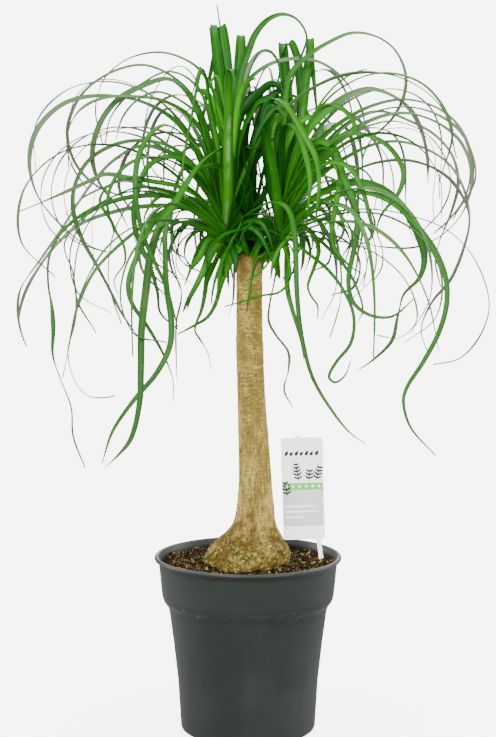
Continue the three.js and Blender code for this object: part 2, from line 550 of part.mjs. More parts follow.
function placeLeaves() {
  const placed = [{ room: straightRoom(new THREE.Vector3(...STEM_FOOT), UP, STEM_LENGTH, STEM_REACH) }];
  for (const head of HEADS) {
    const base = new THREE.Vector3(...head.base);
    placed.push({ head, room: straightRoom(base, axisOf(head), 2 * CORE_HALF, CORE_RADIUS) });
  }
  const [left, right] = HEADS;
  const leaves = [];
  for (const [head, rows] of [[left, LEFT_LEAVES], [right, RIGHT_LEAVES]]) {
    rows.forEach((row) => leaves.push(placeLeaf(head, (shift) => drawnLeaf(head, row, shift), placed)));
  }
  for (const head of HEADS) {
    for (let number = 0; number < head.grown; number += 1) {
      leaves.push(placeLeaf(head, (shift) => grownLeaf(head, number, shift), placed, isInPlace));
    }
  }
  return leaves.filter((leaf) => leaf !== null);
}

// A head: the leaves, fused round a small core of wrapped leaf bases, with room for the stub left open
function buildHead(head, leaves, trunkRoom) {
  const core = new THREE.SphereGeometry(1, 10, 6).rotateX(Math.PI / 2);
  core.scale(CORE_RADIUS, CORE_RADIUS, CORE_HALF);
  core.applyQuaternion(turnTo(UP, axisOf(head)));
  const centre = new THREE.Vector3(...head.base).addScaledVector(axisOf(head), CORE_HALF - 4);
  core.translate(centre.x, centre.y, centre.z);
  const blades = leaves.filter((leaf) => leaf.head === head).map(bladeOf);
  return blades.reduce((sum, blade) => sum.add(blade), solidOf(core)).subtract(trunkRoom);
}

const plant = new THREE.Group();
const trunkRoom = buildTrunk(GAP + 0.05);
const leaves = placeLeaves();
plant.add(meshOf('pot', buildPot(), POT_MATERIAL));
plant.add(meshOf('soil', buildSoil(trunkRoom, buildLabel(GAP)), SOIL_MATERIAL));
plant.add(meshOf('trunk', buildTrunk(0), BARK_MATERIAL));
plant.add(meshOf('label', buildLabel(0), LABEL_MATERIAL));
HEADS.forEach((head, i) => {
  const material = new THREE.MeshStandardMaterial({ color: LEAF_COLOURS[i], roughness: 0.4, metalness: 0 });
  plant.add(meshOf(head.name, buildHead(head, leaves, trunkRoom), material));
});

export default plant;
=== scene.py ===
"""Potted ponytail palm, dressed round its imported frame. Metres, +Z up, front towards -Y."""
import math

import bmesh
import bpy
import numpy as np
from bpy.props import FloatProperty, FloatVectorProperty, IntProperty, PointerProperty
from bpy.types import Operator, Panel, PropertyGroup
from mathutils import Matrix, Vector, noise


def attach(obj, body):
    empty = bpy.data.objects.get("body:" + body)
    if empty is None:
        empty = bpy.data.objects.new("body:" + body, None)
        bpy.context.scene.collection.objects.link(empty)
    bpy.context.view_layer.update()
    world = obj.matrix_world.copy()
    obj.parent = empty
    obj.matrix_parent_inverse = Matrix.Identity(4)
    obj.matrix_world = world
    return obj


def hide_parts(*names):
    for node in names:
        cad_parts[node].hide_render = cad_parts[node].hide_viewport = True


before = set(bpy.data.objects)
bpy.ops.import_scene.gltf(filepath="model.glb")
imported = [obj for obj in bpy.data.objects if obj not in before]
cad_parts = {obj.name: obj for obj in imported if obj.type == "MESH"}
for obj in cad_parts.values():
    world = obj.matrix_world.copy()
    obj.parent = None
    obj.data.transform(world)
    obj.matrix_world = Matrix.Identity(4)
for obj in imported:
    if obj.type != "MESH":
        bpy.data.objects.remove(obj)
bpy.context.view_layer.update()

bl_info = {
    "name": "Potted ponytail palm",
    "version": (1, 0, 0),
    "blender": (4, 5, 0),
    "location": "3D View > Sidebar > Palm",
    "description": "Dresses a potted ponytail palm: pot, soil, trunk, leaf heads, label and a pale stage",
    "category": "Add Mesh",
}

BODY = "root"
MM = 0.001

# Millimetres, shared by the pot and the soil in it
POT_WALL = 1.8


# Colours


def linear_rgb(hex_colour):
    """Linear red, green and blue of an sRGB hex colour."""
    values = [int(hex_colour[i : i + 2], 16) / 255 for i in (1, 3, 5)]
    return tuple(v / 12.92 if v <= 0.04045 else ((v + 0.055) / 1.055) ** 2.4 for v in values)


def colour_setting(name, description, hex_colour):
    return FloatVectorProperty(
        name=name, description=description, subtype="COLOR", size=3, min=0, max=1,
        default=linear_rgb(hex_colour),
    )


def length_setting(name, description, millimetres):
    return FloatProperty(
        name=name, description=description, unit="LENGTH", min=0, default=millimetres * MM
    )


def power_setting(name, description, watts):
    return FloatProperty(name=name, description=description, unit="POWER", min=0, default=watts)


def amount_setting(name, description, amount):
    return FloatProperty(name=name, description=description, min=0, default=amount)


def count_setting(name, description, count, least=0):
    return IntProperty(name=name, description=description, min=least, default=count)


# Settings that a user would change


class PalmPotSettings(PropertyGroup):
    sides: count_setting("Sides", "Flats round the turned pot", 160, 24)
    wall: length_setting("Wall", "Thickness of the pot's wall", POT_WALL)
    plastic: colour_setting("Plastic", "Colour of the moulded plastic", "#2e3430")
    scuffs: colour_setting("Scuffs", "Pale rubbed marks", "#8d928c")
    painted_inner_shade: colour_setting("Soiled wall", "Film of peat on the inside of the wall", "#0d0d0a")


class PalmSoilSettings(PropertyGroup):
    crumbs: amount_setting("Crumbs", "Crumbs on a square metre", 105000)
    crumb_size: length_setting("Crumb size", "Width of a middling crumb", 2.6)
    seed: count_setting("Seed", "Seed of the crumbs' places", 7)
    peat: colour_setting("Peat", "Dark moist peat", "#1c1408")
    coir: colour_setting("Coir", "Brown coir", "#67522d")
    chips: colour_setting("Chips", "Pale wood chips and grit", "#b09a6c")


class PalmTrunkSettings(PropertyGroup):
    around: count_setting("Points round", "Points round the stem", 220, 24)
    ring_spacing: length_setting("Ring spacing", "Height between two leaf-scar rings", 4.4)
    relief: amount_setting("Relief", "Strength of the bark's relief", 1)
    bark: colour_setting("Bark", "Corky bark", "#a68e46")
    pale: colour_setting("Pale bark", "Weathered high spots", "#e2c66e")
    crevice: colour_setting("Crevices", "Dark cracks in the bark", "#654a1e")
    rust: colour_setting("Rust", "Reddish patches", "#5f4226")
    olive: colour_setting("Olive", "Greenish skin of the swollen foot", "#575019")
    fresh: colour_setting("Fresh", "Pinkish bark under the leaves", "#a77c42")
    bases: colour_setting("Leaf bases", "Green skin of the stubs under the heads", "#1f330b")


class PalmLeafSettings(PropertyGroup):
    step: length_setting("Step", "Length of a facet along a leaf", 6)
    around: count_setting("Points round", "Points round a leaf's section", 10, 6)
    thickness: amount_setting("Thickness", "Thickness as a share of width", 0.05)
    margin: length_setting("Margin", "Thickness added all round a blade", 0.42)
    channel: amount_setting("Channel", "Depth of the channel as a share of width", 0.18)
    extra: count_setting("Thin leaves", "Thread-like leaves added to each head", 18)
    bright: colour_setting("Bright green", "Sunlit leaf green", "#58bc28")
    deep: colour_setting("Deep green", "Old leaf green", "#0a4c09")
    midline: colour_setting("Midline", "Pale line down the channel", "#569c2c")
    root: colour_setting("Leaf root", "Yellow-green root of a leaf", "#5f9a2a")
    olive: colour_setting("Olive", "Olive patches of ageing leaves", "#4e741d")
    dull: colour_setting("Dull green", "Greyish green of a leaf's outer half", "#75856b")
    dry: colour_setting("Dry tips", "Dried margins and thread tips", "#6e6762")
    bloom: colour_setting("Bloom", "Painted pale highlight down the channel of a young leaf", "#83a76b")


class PalmLabelSettings(PropertyGroup):
    card: colour_setting("Card", "White card", "#f2f3f0")
    panel: colour_setting("Panel", "Pale grey printed panel", "#dde0db")
    ink: colour_setting("Ink", "Dark grey printing ink", "#444945")
    green: colour_setting("Green", "Light green printing ink", "#86d66a")


class PalmStageSettings(PropertyGroup):
    floor: colour_setting("Floor", "Plain white floor and surroundings", "#fdfdfb")
    backdrop: amount_setting("Backdrop", "Brightness of the white as it is seen", 7)
    sky: amount_setting("Sky", "Light from all round", 0.35)
    key: power_setting("Key light", "Power of the key light", 75)
    fill: power_setting("Fill light", "Power of the fill lights", 45)
    strips: power_setting("Strips", "Power of the side lights", 30)
    top: power_setting("Top light", "Power of the top light", 40)
    focal: amount_setting("Focal length", "Camera's focal length in millimetres", 115.3)


# Helpers for nodes, meshes and pieces


def set_inputs(tree, node, inputs):
    """Sets inputs of a node, by name or number, or links them where the value is a socket."""
    for key, value in inputs.items():
        if isinstance(value, bpy.types.NodeSocket):
            tree.links.new(value, node.inputs[key])
        else:
            widened = node.inputs[key].type == "RGBA" and len(value) == 3
            node.inputs[key].default_value = (*value, 1) if widened else value


def add_node(tree, kind, inputs=None, output=0, **settings):
    """Adds a node, sets its properties, sets or links its inputs, and returns the chosen output."""
    made = tree.nodes.new(kind)
    for name, value in settings.items():
        setattr(made, name, value)
    set_inputs(tree, made, inputs or {})
    return made.outputs[output] if made.outputs else made


def emptied_tree(owner):
    """Node tree of a new material or world with nothing in it."""
    owner.use_nodes = True
    owner.node_tree.nodes.clear()
    return owner.node_tree


def new_material(name):
    """Material with its tree, its shader, and the object's own coordinates."""
    material = bpy.data.materials.new(name)
    tree = emptied_tree(material)
    surface = add_node(tree, "ShaderNodeBsdfPrincipled")
    add_node(tree, "ShaderNodeOutputMaterial", {"Surface": surface})
    return material, tree, surface.node, add_node(tree, "ShaderNodeTexCoord", output="Object")


def speckles(tree, coords, rows):
    """Noises by name, from rows of blob width in mm, detail, roughness and stretch along the axes.
    Each period of a noise has a light blob and a dark one."""
    made = {}
    for name, width, detail, roughness, *stretch in rows:
        squeeze = [1 / v for v in stretch] if stretch else [1, 1, 1]
        placed = add_node(tree, "ShaderNodeMapping", {"Vector": coords, "Scale": squeeze})
        periods = 0.5 / (width * MM)
        values = {"Vector": placed, "Scale": periods, "Detail": detail, "Roughness": roughness}
        made[name] = add_node(tree, "ShaderNodeTexNoise", values)
    return made


def layered(tree, tone, layers):
    """Colour with further colours laid over it. Each layer's row has a value, the value at which the
    layer starts and the one at which it is full, the least and most that it covers, its colour, and a
    mask or None."""
    for value, start, full, least, most, colour, mask in layers:
        ends = {"Value": value, "From Min": start, "From Max": full, "To Min": least, "To Max": most}
        cover = add_node(tree, "ShaderNodeMapRange", ends, interpolation_type="SMOOTHSTEP")
        if mask is not None:
            cover = add_node(tree, "ShaderNodeMath", {0: cover, 1: mask}, operation="MULTIPLY")
        tone = add_node(tree, "ShaderNodeMix", {0: cover, 6: tone, 7: colour}, 2, data_type="RGBA")
    return tone


def darker(colour, share_kept):
    return [c * share_kept for c in colour]


def link_object(name, mesh):
    made = bpy.data.objects.new(name, mesh)
    bpy.context.scene.collection.objects.link(made)
    return made


def to_mesh(name, builder):
    """Mesh of a bmesh, which is freed."""
    mesh = bpy.data.meshes.new(name)
    builder.to_mesh(mesh)
    builder.free()
    return mesh


def combined(thing, mesh, operation, solver):
    """Object cut by a closed mesh, or joined with it."""
    other = link_object("tool", mesh)
    modifier = thing.modifiers.new("tool", "BOOLEAN")
    modifier.object, modifier.operation, modifier.solver = other, operation, solver
    applied(thing)
    bpy.data.objects.remove(other)


def circle(radius, sides):
    """Points round a circle as x and y pairs."""
    angles = [2 * math.pi * i / sides for i in range(sides)]
    return [(radius * math.cos(angle), radius * math.sin(angle)) for angle in angles]


def mesh_of(name, points, faces, smooth=True):
    mesh = bpy.data.meshes.new(name)
    mesh.from_pydata([tuple(p) for p in points], [], faces)
    mesh.polygons.foreach_set("use_smooth", [smooth] * len(mesh.polygons))
    mesh.update()
    return mesh


def set_attribute(mesh, name, values, kind="FLOAT"):
    made = mesh.attributes.new(name, kind, "POINT")
    made.data.foreach_set("value" if kind == "FLOAT" else "vector", np.asarray(values, np.float32).ravel())


def ring_faces(rows, columns, first=0):
    """Faces between rows of points, each row closed on itself, turned outwards for rows that climb."""
    faces = []
    for row in range(rows - 1):
        for column in range(columns):
            a = first + row * columns + column
            b = first + row * columns + (column + 1) % columns
            faces.append((a, b, b + columns, a + columns))
    return faces


def turned_mesh(name, outline, sides):
    """Body turned about Z from radius and height pairs in metres, which start and end on the axis."""
    inner = outline[1:-1]
    points = [(0, 0, outline[0][1])]
    for radius, z in inner:
        points.extend((x, y, z) for x, y in circle(radius, sides))
    points.append((0, 0, outline[-1][1]))
    faces = ring_faces(len(inner), sides, 1)
    last = len(points) - 1
    for i in range(sides):
        after = (i + 1) % sides
        faces.append((0, 1 + after, 1 + i))
        faces.append((last, last - sides + i, last - sides + after))
    return mesh_of(name, points, faces)


def applied(thing):
    """Gives an object the plain mesh that its modifiers make, and takes them off."""
    depsgraph = bpy.context.evaluated_depsgraph_get()
    mesh = bpy.data.meshes.new_from_object(thing.evaluated_get(depsgraph), depsgraph=depsgraph)
    thing.modifiers.clear()
    thing.data = mesh


def geometry_tree(name, sockets):
    """Geometry Nodes tree with a geometry in and out and the named inputs: the tree and its inputs."""
    tree = bpy.data.node_groups.new(name, "GeometryNodeTree")
    tree.interface.new_socket("Geometry", in_out="INPUT", socket_type="NodeSocketGeometry")
    tree.interface.new_socket("Geometry", in_out="OUTPUT", socket_type="NodeSocketGeometry")
    for label, kind in sockets.items():
        tree.interface.new_socket(label, in_out="INPUT", socket_type="NodeSocket" + kind)
    return tree, add_node(tree, "NodeGroupInput").node.outputs[: len(sockets) + 1]


def end_tree(tree, geometry, material):
    """Ends a tree: what it made is real, has its material and goes to the output."""
    real = add_node(tree, "GeometryNodeRealizeInstances", {"Geometry": geometry})
    finished = add_node(tree, "GeometryNodeSetMaterial", {"Geometry": real, "Material": material})
    add_node(tree, "NodeGroupOutput", {0: finished})
    return tree


def run_tree(thing, tree, values):
    """Runs the tree on an object with its inputs set, and keeps the plain mesh that comes out."""
    modifier = thing.modifiers.new(tree.name, "NODES")
    modifier.node_group = tree
    for item in tree.interface.items_tree:
        if item.item_type == "SOCKET" and item.in_out == "INPUT" and item.name in values:
            modifier[item.identifier] = values[item.name]
    applied(thing)


def keep(thing, node):
    """The finished piece stands for a node of the frame, and moves with the body."""
    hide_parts(node)
    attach(thing, BODY)


# Pot

POT_HEIGHT = 200.5
RIM_RADIUS = 105
RIM_BEAD = 2.5
BAND_TOP_RADIUS = 100.2
BAND_EDGE_RADIUS = 95.5
BAND_EDGE_Z = 151
STEP_RADIUS = 90.3
STEP_Z = 144
POT_BODY = [(79, 58), (84, 103), (88.6, 138)]
FOOT_RADIUS = 69
CORNER_RADIUS = 7
POT_FLOOR = 3
DRAIN_HOLES = 8
DRAIN_RADIUS = 4.5
DRAIN_CENTRE = (71, 3.5)
DRAIN_SIDES = 28
DRAIN_TILT = 135
DRAIN_DEPTH = 24
SHARP_ANGLE = 40
# Rubbed marks lie this near the band's lower edge, and painted shade darkens the inside of the wall above the
# soil
RUBBED_OVER = 7
INNER_SHADE_DEPTH = (1.6, 0.9)
INNER_SHADE_Z = (183, 187)


def arc(x, z, size, start, end, steps):
    """Points on an arc round a centre, between two angles in degrees."""
    points = []
    for i in range(steps + 1):
        angle = math.radians(start + (end - start) * i / steps)
        points.append((x + size * math.cos(angle), z + size * math.sin(angle)))
    return points


def eased(points, size, steps=4):
    """Outline with each inner corner rounded over about size."""
    rounded = [points[0]]
    for before, corner, after in zip(points, points[1:], points[2:]):
        c = Vector(corner)
        back, ahead = Vector(before) - c, Vector(after) - c
        reach = min(size, 0.45 * back.length, 0.45 * ahead.length)
        first, second = c + back.normalized() * reach, c + ahead.normalized() * reach
        for i in range(steps + 1):
            t = i / steps
            p = first * (1 - t) ** 2 + c * 2 * t * (1 - t) + second * t**2
            rounded.append((p.x, p.y))
    rounded.append(points[-1])
    return rounded


def pot_outline(wall):
    """Outside and inside of the pot in millimetres, from the middle of the underside to the floor."""
    neck_z = POT_HEIGHT - 3.2 * RIM_BEAD
    corner = arc(FOOT_RADIUS, CORNER_RADIUS, CORNER_RADIUS, -90, -8, 10)
    bead = arc(RIM_RADIUS - RIM_BEAD, POT_HEIGHT - RIM_BEAD, RIM_BEAD, -75, 165, 16)
    side = [
        corner[-1], *POT_BODY, (STEP_RADIUS, STEP_Z), (BAND_EDGE_RADIUS - 0.6, BAND_EDGE_Z - 1),
        (BAND_EDGE_RADIUS + 1.2, BAND_EDGE_Z + 5), (BAND_TOP_RADIUS, neck_z), bead[0],
    ]
    inside = [
        bead[-1], (BAND_TOP_RADIUS - wall, neck_z),
        (BAND_EDGE_RADIUS + 1.5 - wall, BAND_EDGE_Z + 6), (STEP_RADIUS - wall, STEP_Z + 1),
        *[(r - wall, z) for r, z in reversed(POT_BODY)],
        (FOOT_RADIUS + CORNER_RADIUS - 0.6 - wall, POT_FLOOR + 9),
        (FOOT_RADIUS - 1, POT_FLOOR), (0, POT_FLOOR),
    ]
    return corner[:-1] + eased(side, 2.2) + bead[1:-1] + eased(inside, 1.5)


def moulded_plastic(settings):
    """Injection-moulded polypropylene: satin, faintly mottled, with rubbed marks under the band, and painted
    shade inside the wall above the soil.
    """
    material, tree, shader, coords = new_material("moulded_polypropylene")
    # The mould texture is about a third of a millimetre, drawn at 0.8 mm so that it shows
    drawn = speckles(tree, coords, (
        ("cloud", 45, 3, 0.6), ("streak", 12, 4, 0.6, 1, 1, 6), ("rub", 6, 5, 0.7, 1, 1, 0.5),
        ("wear", 20, 4, 0.55), ("grain", 0.8, 2, 0.55),
    ))
    height = add_node(tree, "ShaderNodeSeparateXYZ", {0: coords}, 2)
    edge = add_node(tree, "ShaderNodeMath", {0: height, 1: (BAND_EDGE_Z - 3) * MM}, operation="SUBTRACT")
    edge = add_node(tree, "ShaderNodeMath", {0: edge}, operation="ABSOLUTE")
    edge = add_node(tree, "ShaderNodeMapRange", {0: edge, 1: 0, 2: RUBBED_OVER * MM, 3: 1, 4: 0})
    level = add_node(tree, "ShaderNodeVectorMath", {0: coords, 1: (1, 1, 0)}, operation="MULTIPLY")
    radius = add_node(tree, "ShaderNodeVectorMath", {0: level}, 1, operation="LENGTH")
    deep, shallow = ((BAND_TOP_RADIUS - depth) * MM for depth in INNER_SHADE_DEPTH)
    inner = add_node(tree, "ShaderNodeMapRange", {0: radius, 1: deep, 2: shallow, 3: 1, 4: 0})
    low, high = (z * MM for z in INNER_SHADE_Z)
    above = add_node(tree, "ShaderNodeMapRange", {0: height, 1: low, 2: high})
    light = [c * 1.28 for c in settings.plastic]
    tone = layered(tree, settings.plastic, (
        (drawn["cloud"], 0.35, 0.7, 0, 1, light, None),
        (drawn["streak"], 0.55, 0.8, 0, 0.03, settings.scuffs, None),
        (drawn["rub"], 0.52, 0.7, 0.04, 0.5, settings.scuffs, edge),
        # Painted shade: the inside of the wall above the soil is painted almost black, as the shade inside
        # the pot
        (inner, 0, 1, 0, 0.8, settings.painted_inner_shade, above),
    ))
    dull = add_node(tree, "ShaderNodeMapRange", {0: drawn["wear"], 1: 0.3, 2: 0.7, 3: 0.42, 4: 0.54})
    bump = add_node(tree, "ShaderNodeBump", {"Height": drawn["grain"], "Distance": 0.05 * MM})
    # The sheen is fine dust on the plastic, which catches light at the pot's sides
    set_inputs(tree, shader, {
        "Base Color": tone, "Roughness": dull, "IOR": 1.49, "Specular IOR Level": 0.45,
        "Sheen Weight": 0.12, "Sheen Roughness": 0.4, "Normal": bump,
    })
    return material


def make_pot(settings):
    outline = [(r * MM, z * MM) for r, z in pot_outline(settings.wall / MM)]
    pot = link_object("nursery_pot", turned_mesh("nursery_pot", outline, settings.sides))
    cutter = bmesh.new()
    for i in range(DRAIN_HOLES):
        place = (
            Matrix.Rotation((i + 0.5) / DRAIN_HOLES * 2 * math.pi, 4, "Z")
            @ Matrix.Translation((DRAIN_CENTRE[0] * MM, 0, DRAIN_CENTRE[1] * MM))
            @ Matrix.Rotation(math.radians(DRAIN_TILT), 4, "Y")
        )
        bmesh.ops.create_cone(
            cutter, cap_ends=True, segments=DRAIN_SIDES, radius1=DRAIN_RADIUS * MM,
            radius2=DRAIN_RADIUS * MM, depth=DRAIN_DEPTH * MM, matrix=place,
        )
    combined(pot, to_mesh("drain_cutter", cutter), "DIFFERENCE", "EXACT")
    pot.data.materials.clear()
    pot.data.materials.append(moulded_plastic(settings))
    pot.data.polygons.foreach_set("use_smooth", [True] * len(pot.data.polygons))
    pot.data.set_sharp_from_angle(angle=math.radians(SHARP_ANGLE))
    keep(pot, "pot")


# Trunk

TRUNK_EDGES = [
    (158, -14, 12), (165, -31, 25), (175, -43, 36), (186, -49, 43), (194, -50.5, 46.5), (202, -47.2, 47.2),
    (210, -41.9, 44.9), (217, -33.8, 40.4), (225, -25.6, 35.8), (233, -19, 32.4), (242, -15.2, 30.6),
    (257, -12.8, 29.6), (283, -10.6, 27), (310, -10.8, 25), (335, -11, 23), (361, -11.6, 21),
    (387, -12.2, 19.2), (412, -13, 18.2), (438, -13.8, 17.1), (478, -13.2, 16.2), (519, -13.3, 16.3),
    (538, -12.5, 15.5),
]
TRUNK_DEPTH = 0.96
CAUDEX_LOBES = 0.045
TRUNK_ROW = 1.0
STUB_START = Vector((1.5, 0, 527))
STUB_RADIUS = 8
STUB_FLARE = (1.2, -0.7)
STUB_SIDES = 40
# Rows over which the drawn edges are smoothed, spread of the smoothing, and rows kept as drawn at the foot
SMOOTH_ROWS = 9
SMOOTH_SPREAD = 3.2
KEPT_ROWS = 8
# Heights where the foot's bark and the split lower bark end, and how gently they do
FOOT_TOP = (246, 30)
SPLIT_TOP = (420, 150)
LOBES_TOP = (250, 50)
# Heights in millimetres of the leaf-scar rings, lumps, grain and the foot's knobs
RING_RELIEF = 0.3
LUMP_RELIEF = 0.55
GRAIN_RELIEF = 0.22
KNOB_RELIEF = 3.2


def trunk_outline():
    """Smooth heights, middles and half widths of the stem in millimetres."""
    z, left, right = (np.array(v, float) for v in zip(*TRUNK_EDGES))
    heights = np.arange(z[0], z[-1] + 0.5 * TRUNK_ROW, TRUNK_ROW)
    kernel = np.exp(-0.5 * (np.arange(-SMOOTH_ROWS, SMOOTH_ROWS + 1) / SMOOTH_SPREAD) ** 2)
    kernel /= kernel.sum()
    smooth = []
    for edge in (left, right):
        drawn = np.interp(heights, z, edge)
        eased_edge = np.convolve(np.pad(drawn, SMOOTH_ROWS, mode="edge"), kernel, "valid")
        eased_edge[:KEPT_ROWS] = drawn[:KEPT_ROWS]
        smooth.append(eased_edge)
    return heights, (smooth[0] + smooth[1]) / 2, (smooth[1] - smooth[0]) / 2


def below(top, z):
    """From 0 at a top to 1 further down, where the top is a height and how gently it ends."""
    return min(1, max(0, (top[0] - z) / top[1]))


def bark_relief(angle, z, radius, spacing):
    """Height of the bark in millimetres at a place on the stem."""
    place = Vector((radius * math.cos(angle), radius * math.sin(angle), z))
    foot = below(FOOT_TOP, z)
    # Rings wander up and down round the stem, and fade out and in
    wander = noise.noise(place * 0.045) * 2.2 + noise.noise(place * 0.14) * 0.7
    ring = math.sin(2 * math.pi * (z + 1.6 * wander) / spacing)
    fade = noise.noise(Vector((place.x * 0.16, place.y * 0.16, z * 0.09 + 7)))
    ring *= 0.35 + 0.65 * max(0, fade + 0.45)
    # Cracks run upright, and are deeper in the lower bark
    crack = 1 - abs(noise.noise(Vector((place.x * 0.17, place.y * 0.17, z * 0.021)))) * 4.5
    crack = (0.25 + 0.75 * below(SPLIT_TOP, z)) * max(0, crack) ** 2
    lumps = noise.fractal(place * 0.075, 0.9, 2.1, 3)
    knobs = noise.fractal(place * 0.05 + Vector((9, 4, 2)), 0.8, 2.0, 4)
    grain = noise.fractal(place * 0.32, 0.8, 2.2, 3)
    height = (1 - foot) * (RING_RELIEF * ring - crack + LUMP_RELIEF * lumps)
    return height + GRAIN_RELIEF * grain * (1 + 1.6 * foot) + foot * KNOB_RELIEF * knobs


def corky_bark(settings):
    """Corky bark of a stem: matt, tan, with dark cracks, worn high spots, rust-red and olive skin. Painted
    shade darkens the foot's sides, its lowest band, the bark's hollows and the stubs under the heads.
    """
    material, tree, shader, coords = new_material("corky_bark")
    # Leaf scars on the upper stem lie flat and are 2 to 4 mm wide, the lower bark is split upright.
    # The cork grain is half a millimetre, drawn at 1 mm so that it shows
    drawn = speckles(tree, coords, (
        ("scars", 1.7, 3, 0.6, 1.5, 1.5, 0.7), ("splits", 1.7, 4, 0.64, 1, 1, 3.4),
        ("patches", 9, 3, 0.6, 1, 1, 2.4), ("fine", 1.2, 4, 0.7), ("mottle", 4, 5, 0.72),
        ("granules", 1.9, 4, 0.65, 1, 1, 0.8), ("blotch", 5.5, 5, 0.66, 1, 1, 1.6), ("fresh", 6, 3, 0.55),
        ("grain", 1, 4, 0.7),
    ))
    aside = add_node(tree, "ShaderNodeSeparateXYZ", {0: coords})
    height = add_node(tree, "ShaderNodeSeparateXYZ", {0: coords}, 2)
    relief = add_node(tree, "ShaderNodeAttribute", output="Fac", attribute_name="relief")
    # Where each finish starts and where it is full: heights and sideways places in metres, relief in mm
    masks = {}
    for name, value, start, full in (
        ("upper", height, 0.3, 0.4), ("skin", height, 0.25, 0.214), ("over_foot", height, 0.206, 0.224),
        ("under_stem", height, 0.264, 0.242), ("crown", height, 0.498, 0.53),
        ("raised", relief, -0.3, 0.5), ("flank", aside, 0.024, -0.02), ("far_flank", aside, 0.022, 0.04),
    ):
        low, high = min(start, full), max(start, full)
        ends = {0: value, 1: low, 2: high, 3: float(start > full), 4: float(start < full)}
        masks[name] = add_node(tree, "ShaderNodeMapRange", ends, interpolation_type="SMOOTHSTEP")
    band = {0: masks["over_foot"], 1: masks["under_stem"]}
    band = add_node(tree, "ShaderNodeMath", band, operation="MULTIPLY")
    # Painted shade on the foot's left and right sides, away from its middle
    flanks = {0: masks["flank"], 1: masks["far_flank"]}
    flanks = add_node(tree, "ShaderNodeMath", flanks, operation="MAXIMUM")
    dashes = {0: masks["upper"], 2: drawn["splits"], 3: drawn["scars"]}
    dashes = add_node(tree, "ShaderNodeMix", dashes, data_type="FLOAT")
    stem = layered(tree, settings.bark, (
        (drawn["patches"], 0.42, 0.62, 0, 0.75, settings.pale, None),
        (dashes, 0.5, 0.58, 0, 1, settings.pale, masks["raised"]),
        (dashes, 0.48, 0.36, 0, 0.95, darker(settings.bark, 0.62), None),
        (drawn["fine"], 0.52, 0.68, 0, 0.65, settings.crevice, None),
    ))
    foot = layered(tree, settings.bark, (
        # Painted shade: the foot's sides are painted dark olive, where they turn from the light
        (flanks, 0, 1, 0, 0.9, settings.olive, None),
        (drawn["patches"], 0.46, 0.62, 0, 0.6, settings.pale, None),
        (drawn["blotch"], 0.5, 0.36, 0, 0.7, settings.olive, None),
        (drawn["mottle"], 0.45, 0.58, 0, 0.95, darker(settings.olive, 0.6), None),
        (drawn["mottle"], 0.5, 0.38, 0, 0.75, settings.olive, None),
        (drawn["granules"], 0.5, 0.66, 0, 0.8, settings.pale, None),
    ))
    tone = layered(tree, stem, (
        (masks["skin"], 0, 1, 0, 1, foot, None),
        (drawn["blotch"], 0.4, 0.62, 0, 0.8, settings.rust, band),
        (drawn["fresh"], 0.35, 0.6, 0.2, 0.7, settings.fresh, masks["crown"]),
        # Leaf bases on the stubs, darkened to near-black green as painted shade under the heads
        (height, 0.53, 0.542, 0, 0.95, settings.bases, None),
        # Dark where the relief sinks: partly the cracks' own colour and partly painted shade in the hollows
        (relief, -0.2, -1.3, 0, 0.7, settings.crevice, None),
        # Painted shade: the foot is mottled darker olive just above the soil, where it meets the soil
        (height, 0.204, 0.19, 0, 0.7, settings.olive, drawn["mottle"]),
    ))
    bump = add_node(tree, "ShaderNodeBump", {"Height": drawn["grain"], "Distance": 0.7 * MM})
    values = {"Base Color": tone, "Roughness": 0.9, "Specular IOR Level": 0.15, "Normal": bump}
    set_inputs(tree, shader, values)
    return material


def make_trunk(settings):
    heights, middles, halves = trunk_outline()
    around = settings.around
    points, relief = [], []
    for z, middle, half in zip(heights, middles, halves):
        swelling = below(LOBES_TOP, z) * CAUDEX_LOBES
        for i in range(around):
            angle = 2 * math.pi * i / around
            bark = settings.relief * bark_relief(angle, z, half, settings.ring_spacing / MM)
            # The bark's relief stands partly inside and partly outside the drawn outline
            radius = half * (1 + swelling * math.sin(3 * angle)) - 0.3 + 0.8 * bark
            across, back = radius * math.cos(angle), TRUNK_DEPTH * radius * math.sin(angle)
            points.append(((middle + across) * MM, back * MM, z * MM))
            relief.append(bark)
    faces = ring_faces(len(heights), around)
    faces.append(tuple(reversed(range(around))))
    last = len(points) - around
    faces.append(tuple(range(last, last + around)))
    mesh = mesh_of("trunk_with_caudex", points, faces)
    set_attribute(mesh, "relief", relief)
    trunk = link_object("trunk_with_caudex", mesh)
    stubs = bmesh.new()
    low_radius, top_radius = ((STUB_RADIUS + flare) * MM for flare in STUB_FLARE)
    for head in HEADS:
        way = Vector(head["base"]) - STUB_START
        place = Matrix.Translation((STUB_START + way / 2) * MM)
        bmesh.ops.create_cone(
            stubs, cap_ends=True, segments=STUB_SIDES, radius1=low_radius, radius2=top_radius,
            depth=way.length * MM, matrix=place @ way.to_track_quat("Z", "Y").to_matrix().to_4x4(),
        )
    stub_mesh = to_mesh("stubs", stubs)
    set_attribute(stub_mesh, "relief", [0.0] * len(stub_mesh.vertices))
    stub_mesh.polygons.foreach_set("use_smooth", [True] * len(stub_mesh.polygons))
    combined(trunk, stub_mesh, "UNION", "MANIFOLD")
    trunk.data.materials.clear()
    trunk.data.materials.append(corky_bark(settings))
    keep(trunk, "trunk")


# Soil

SOIL_Z = 189
SOIL_LUMP = 1.6
SOIL_MOUND = 3
SOIL_BANK = 3
# Radii where the mound round the stem and the bank at the wall start, and how gently they do
MOUND_FROM = (48, 14)
BANK_FROM = (70, 25)
# Crumbs lie where the soil faces up by this much, down to a depth, and are long, flat bits
CRUMB_LEVEL = 0.6
CRUMB_DEPTH = 8
CRUMB_LEAST = (0.4, 0.3, 0.25)
CRUMB_MOST = (2.6, 1.1, 0.9)
CRUMB_TURN = (6.28, 6.28, 6.28)
SOIL_SIDES = 150
SOIL_RINGS = 46
GAP = 0.3


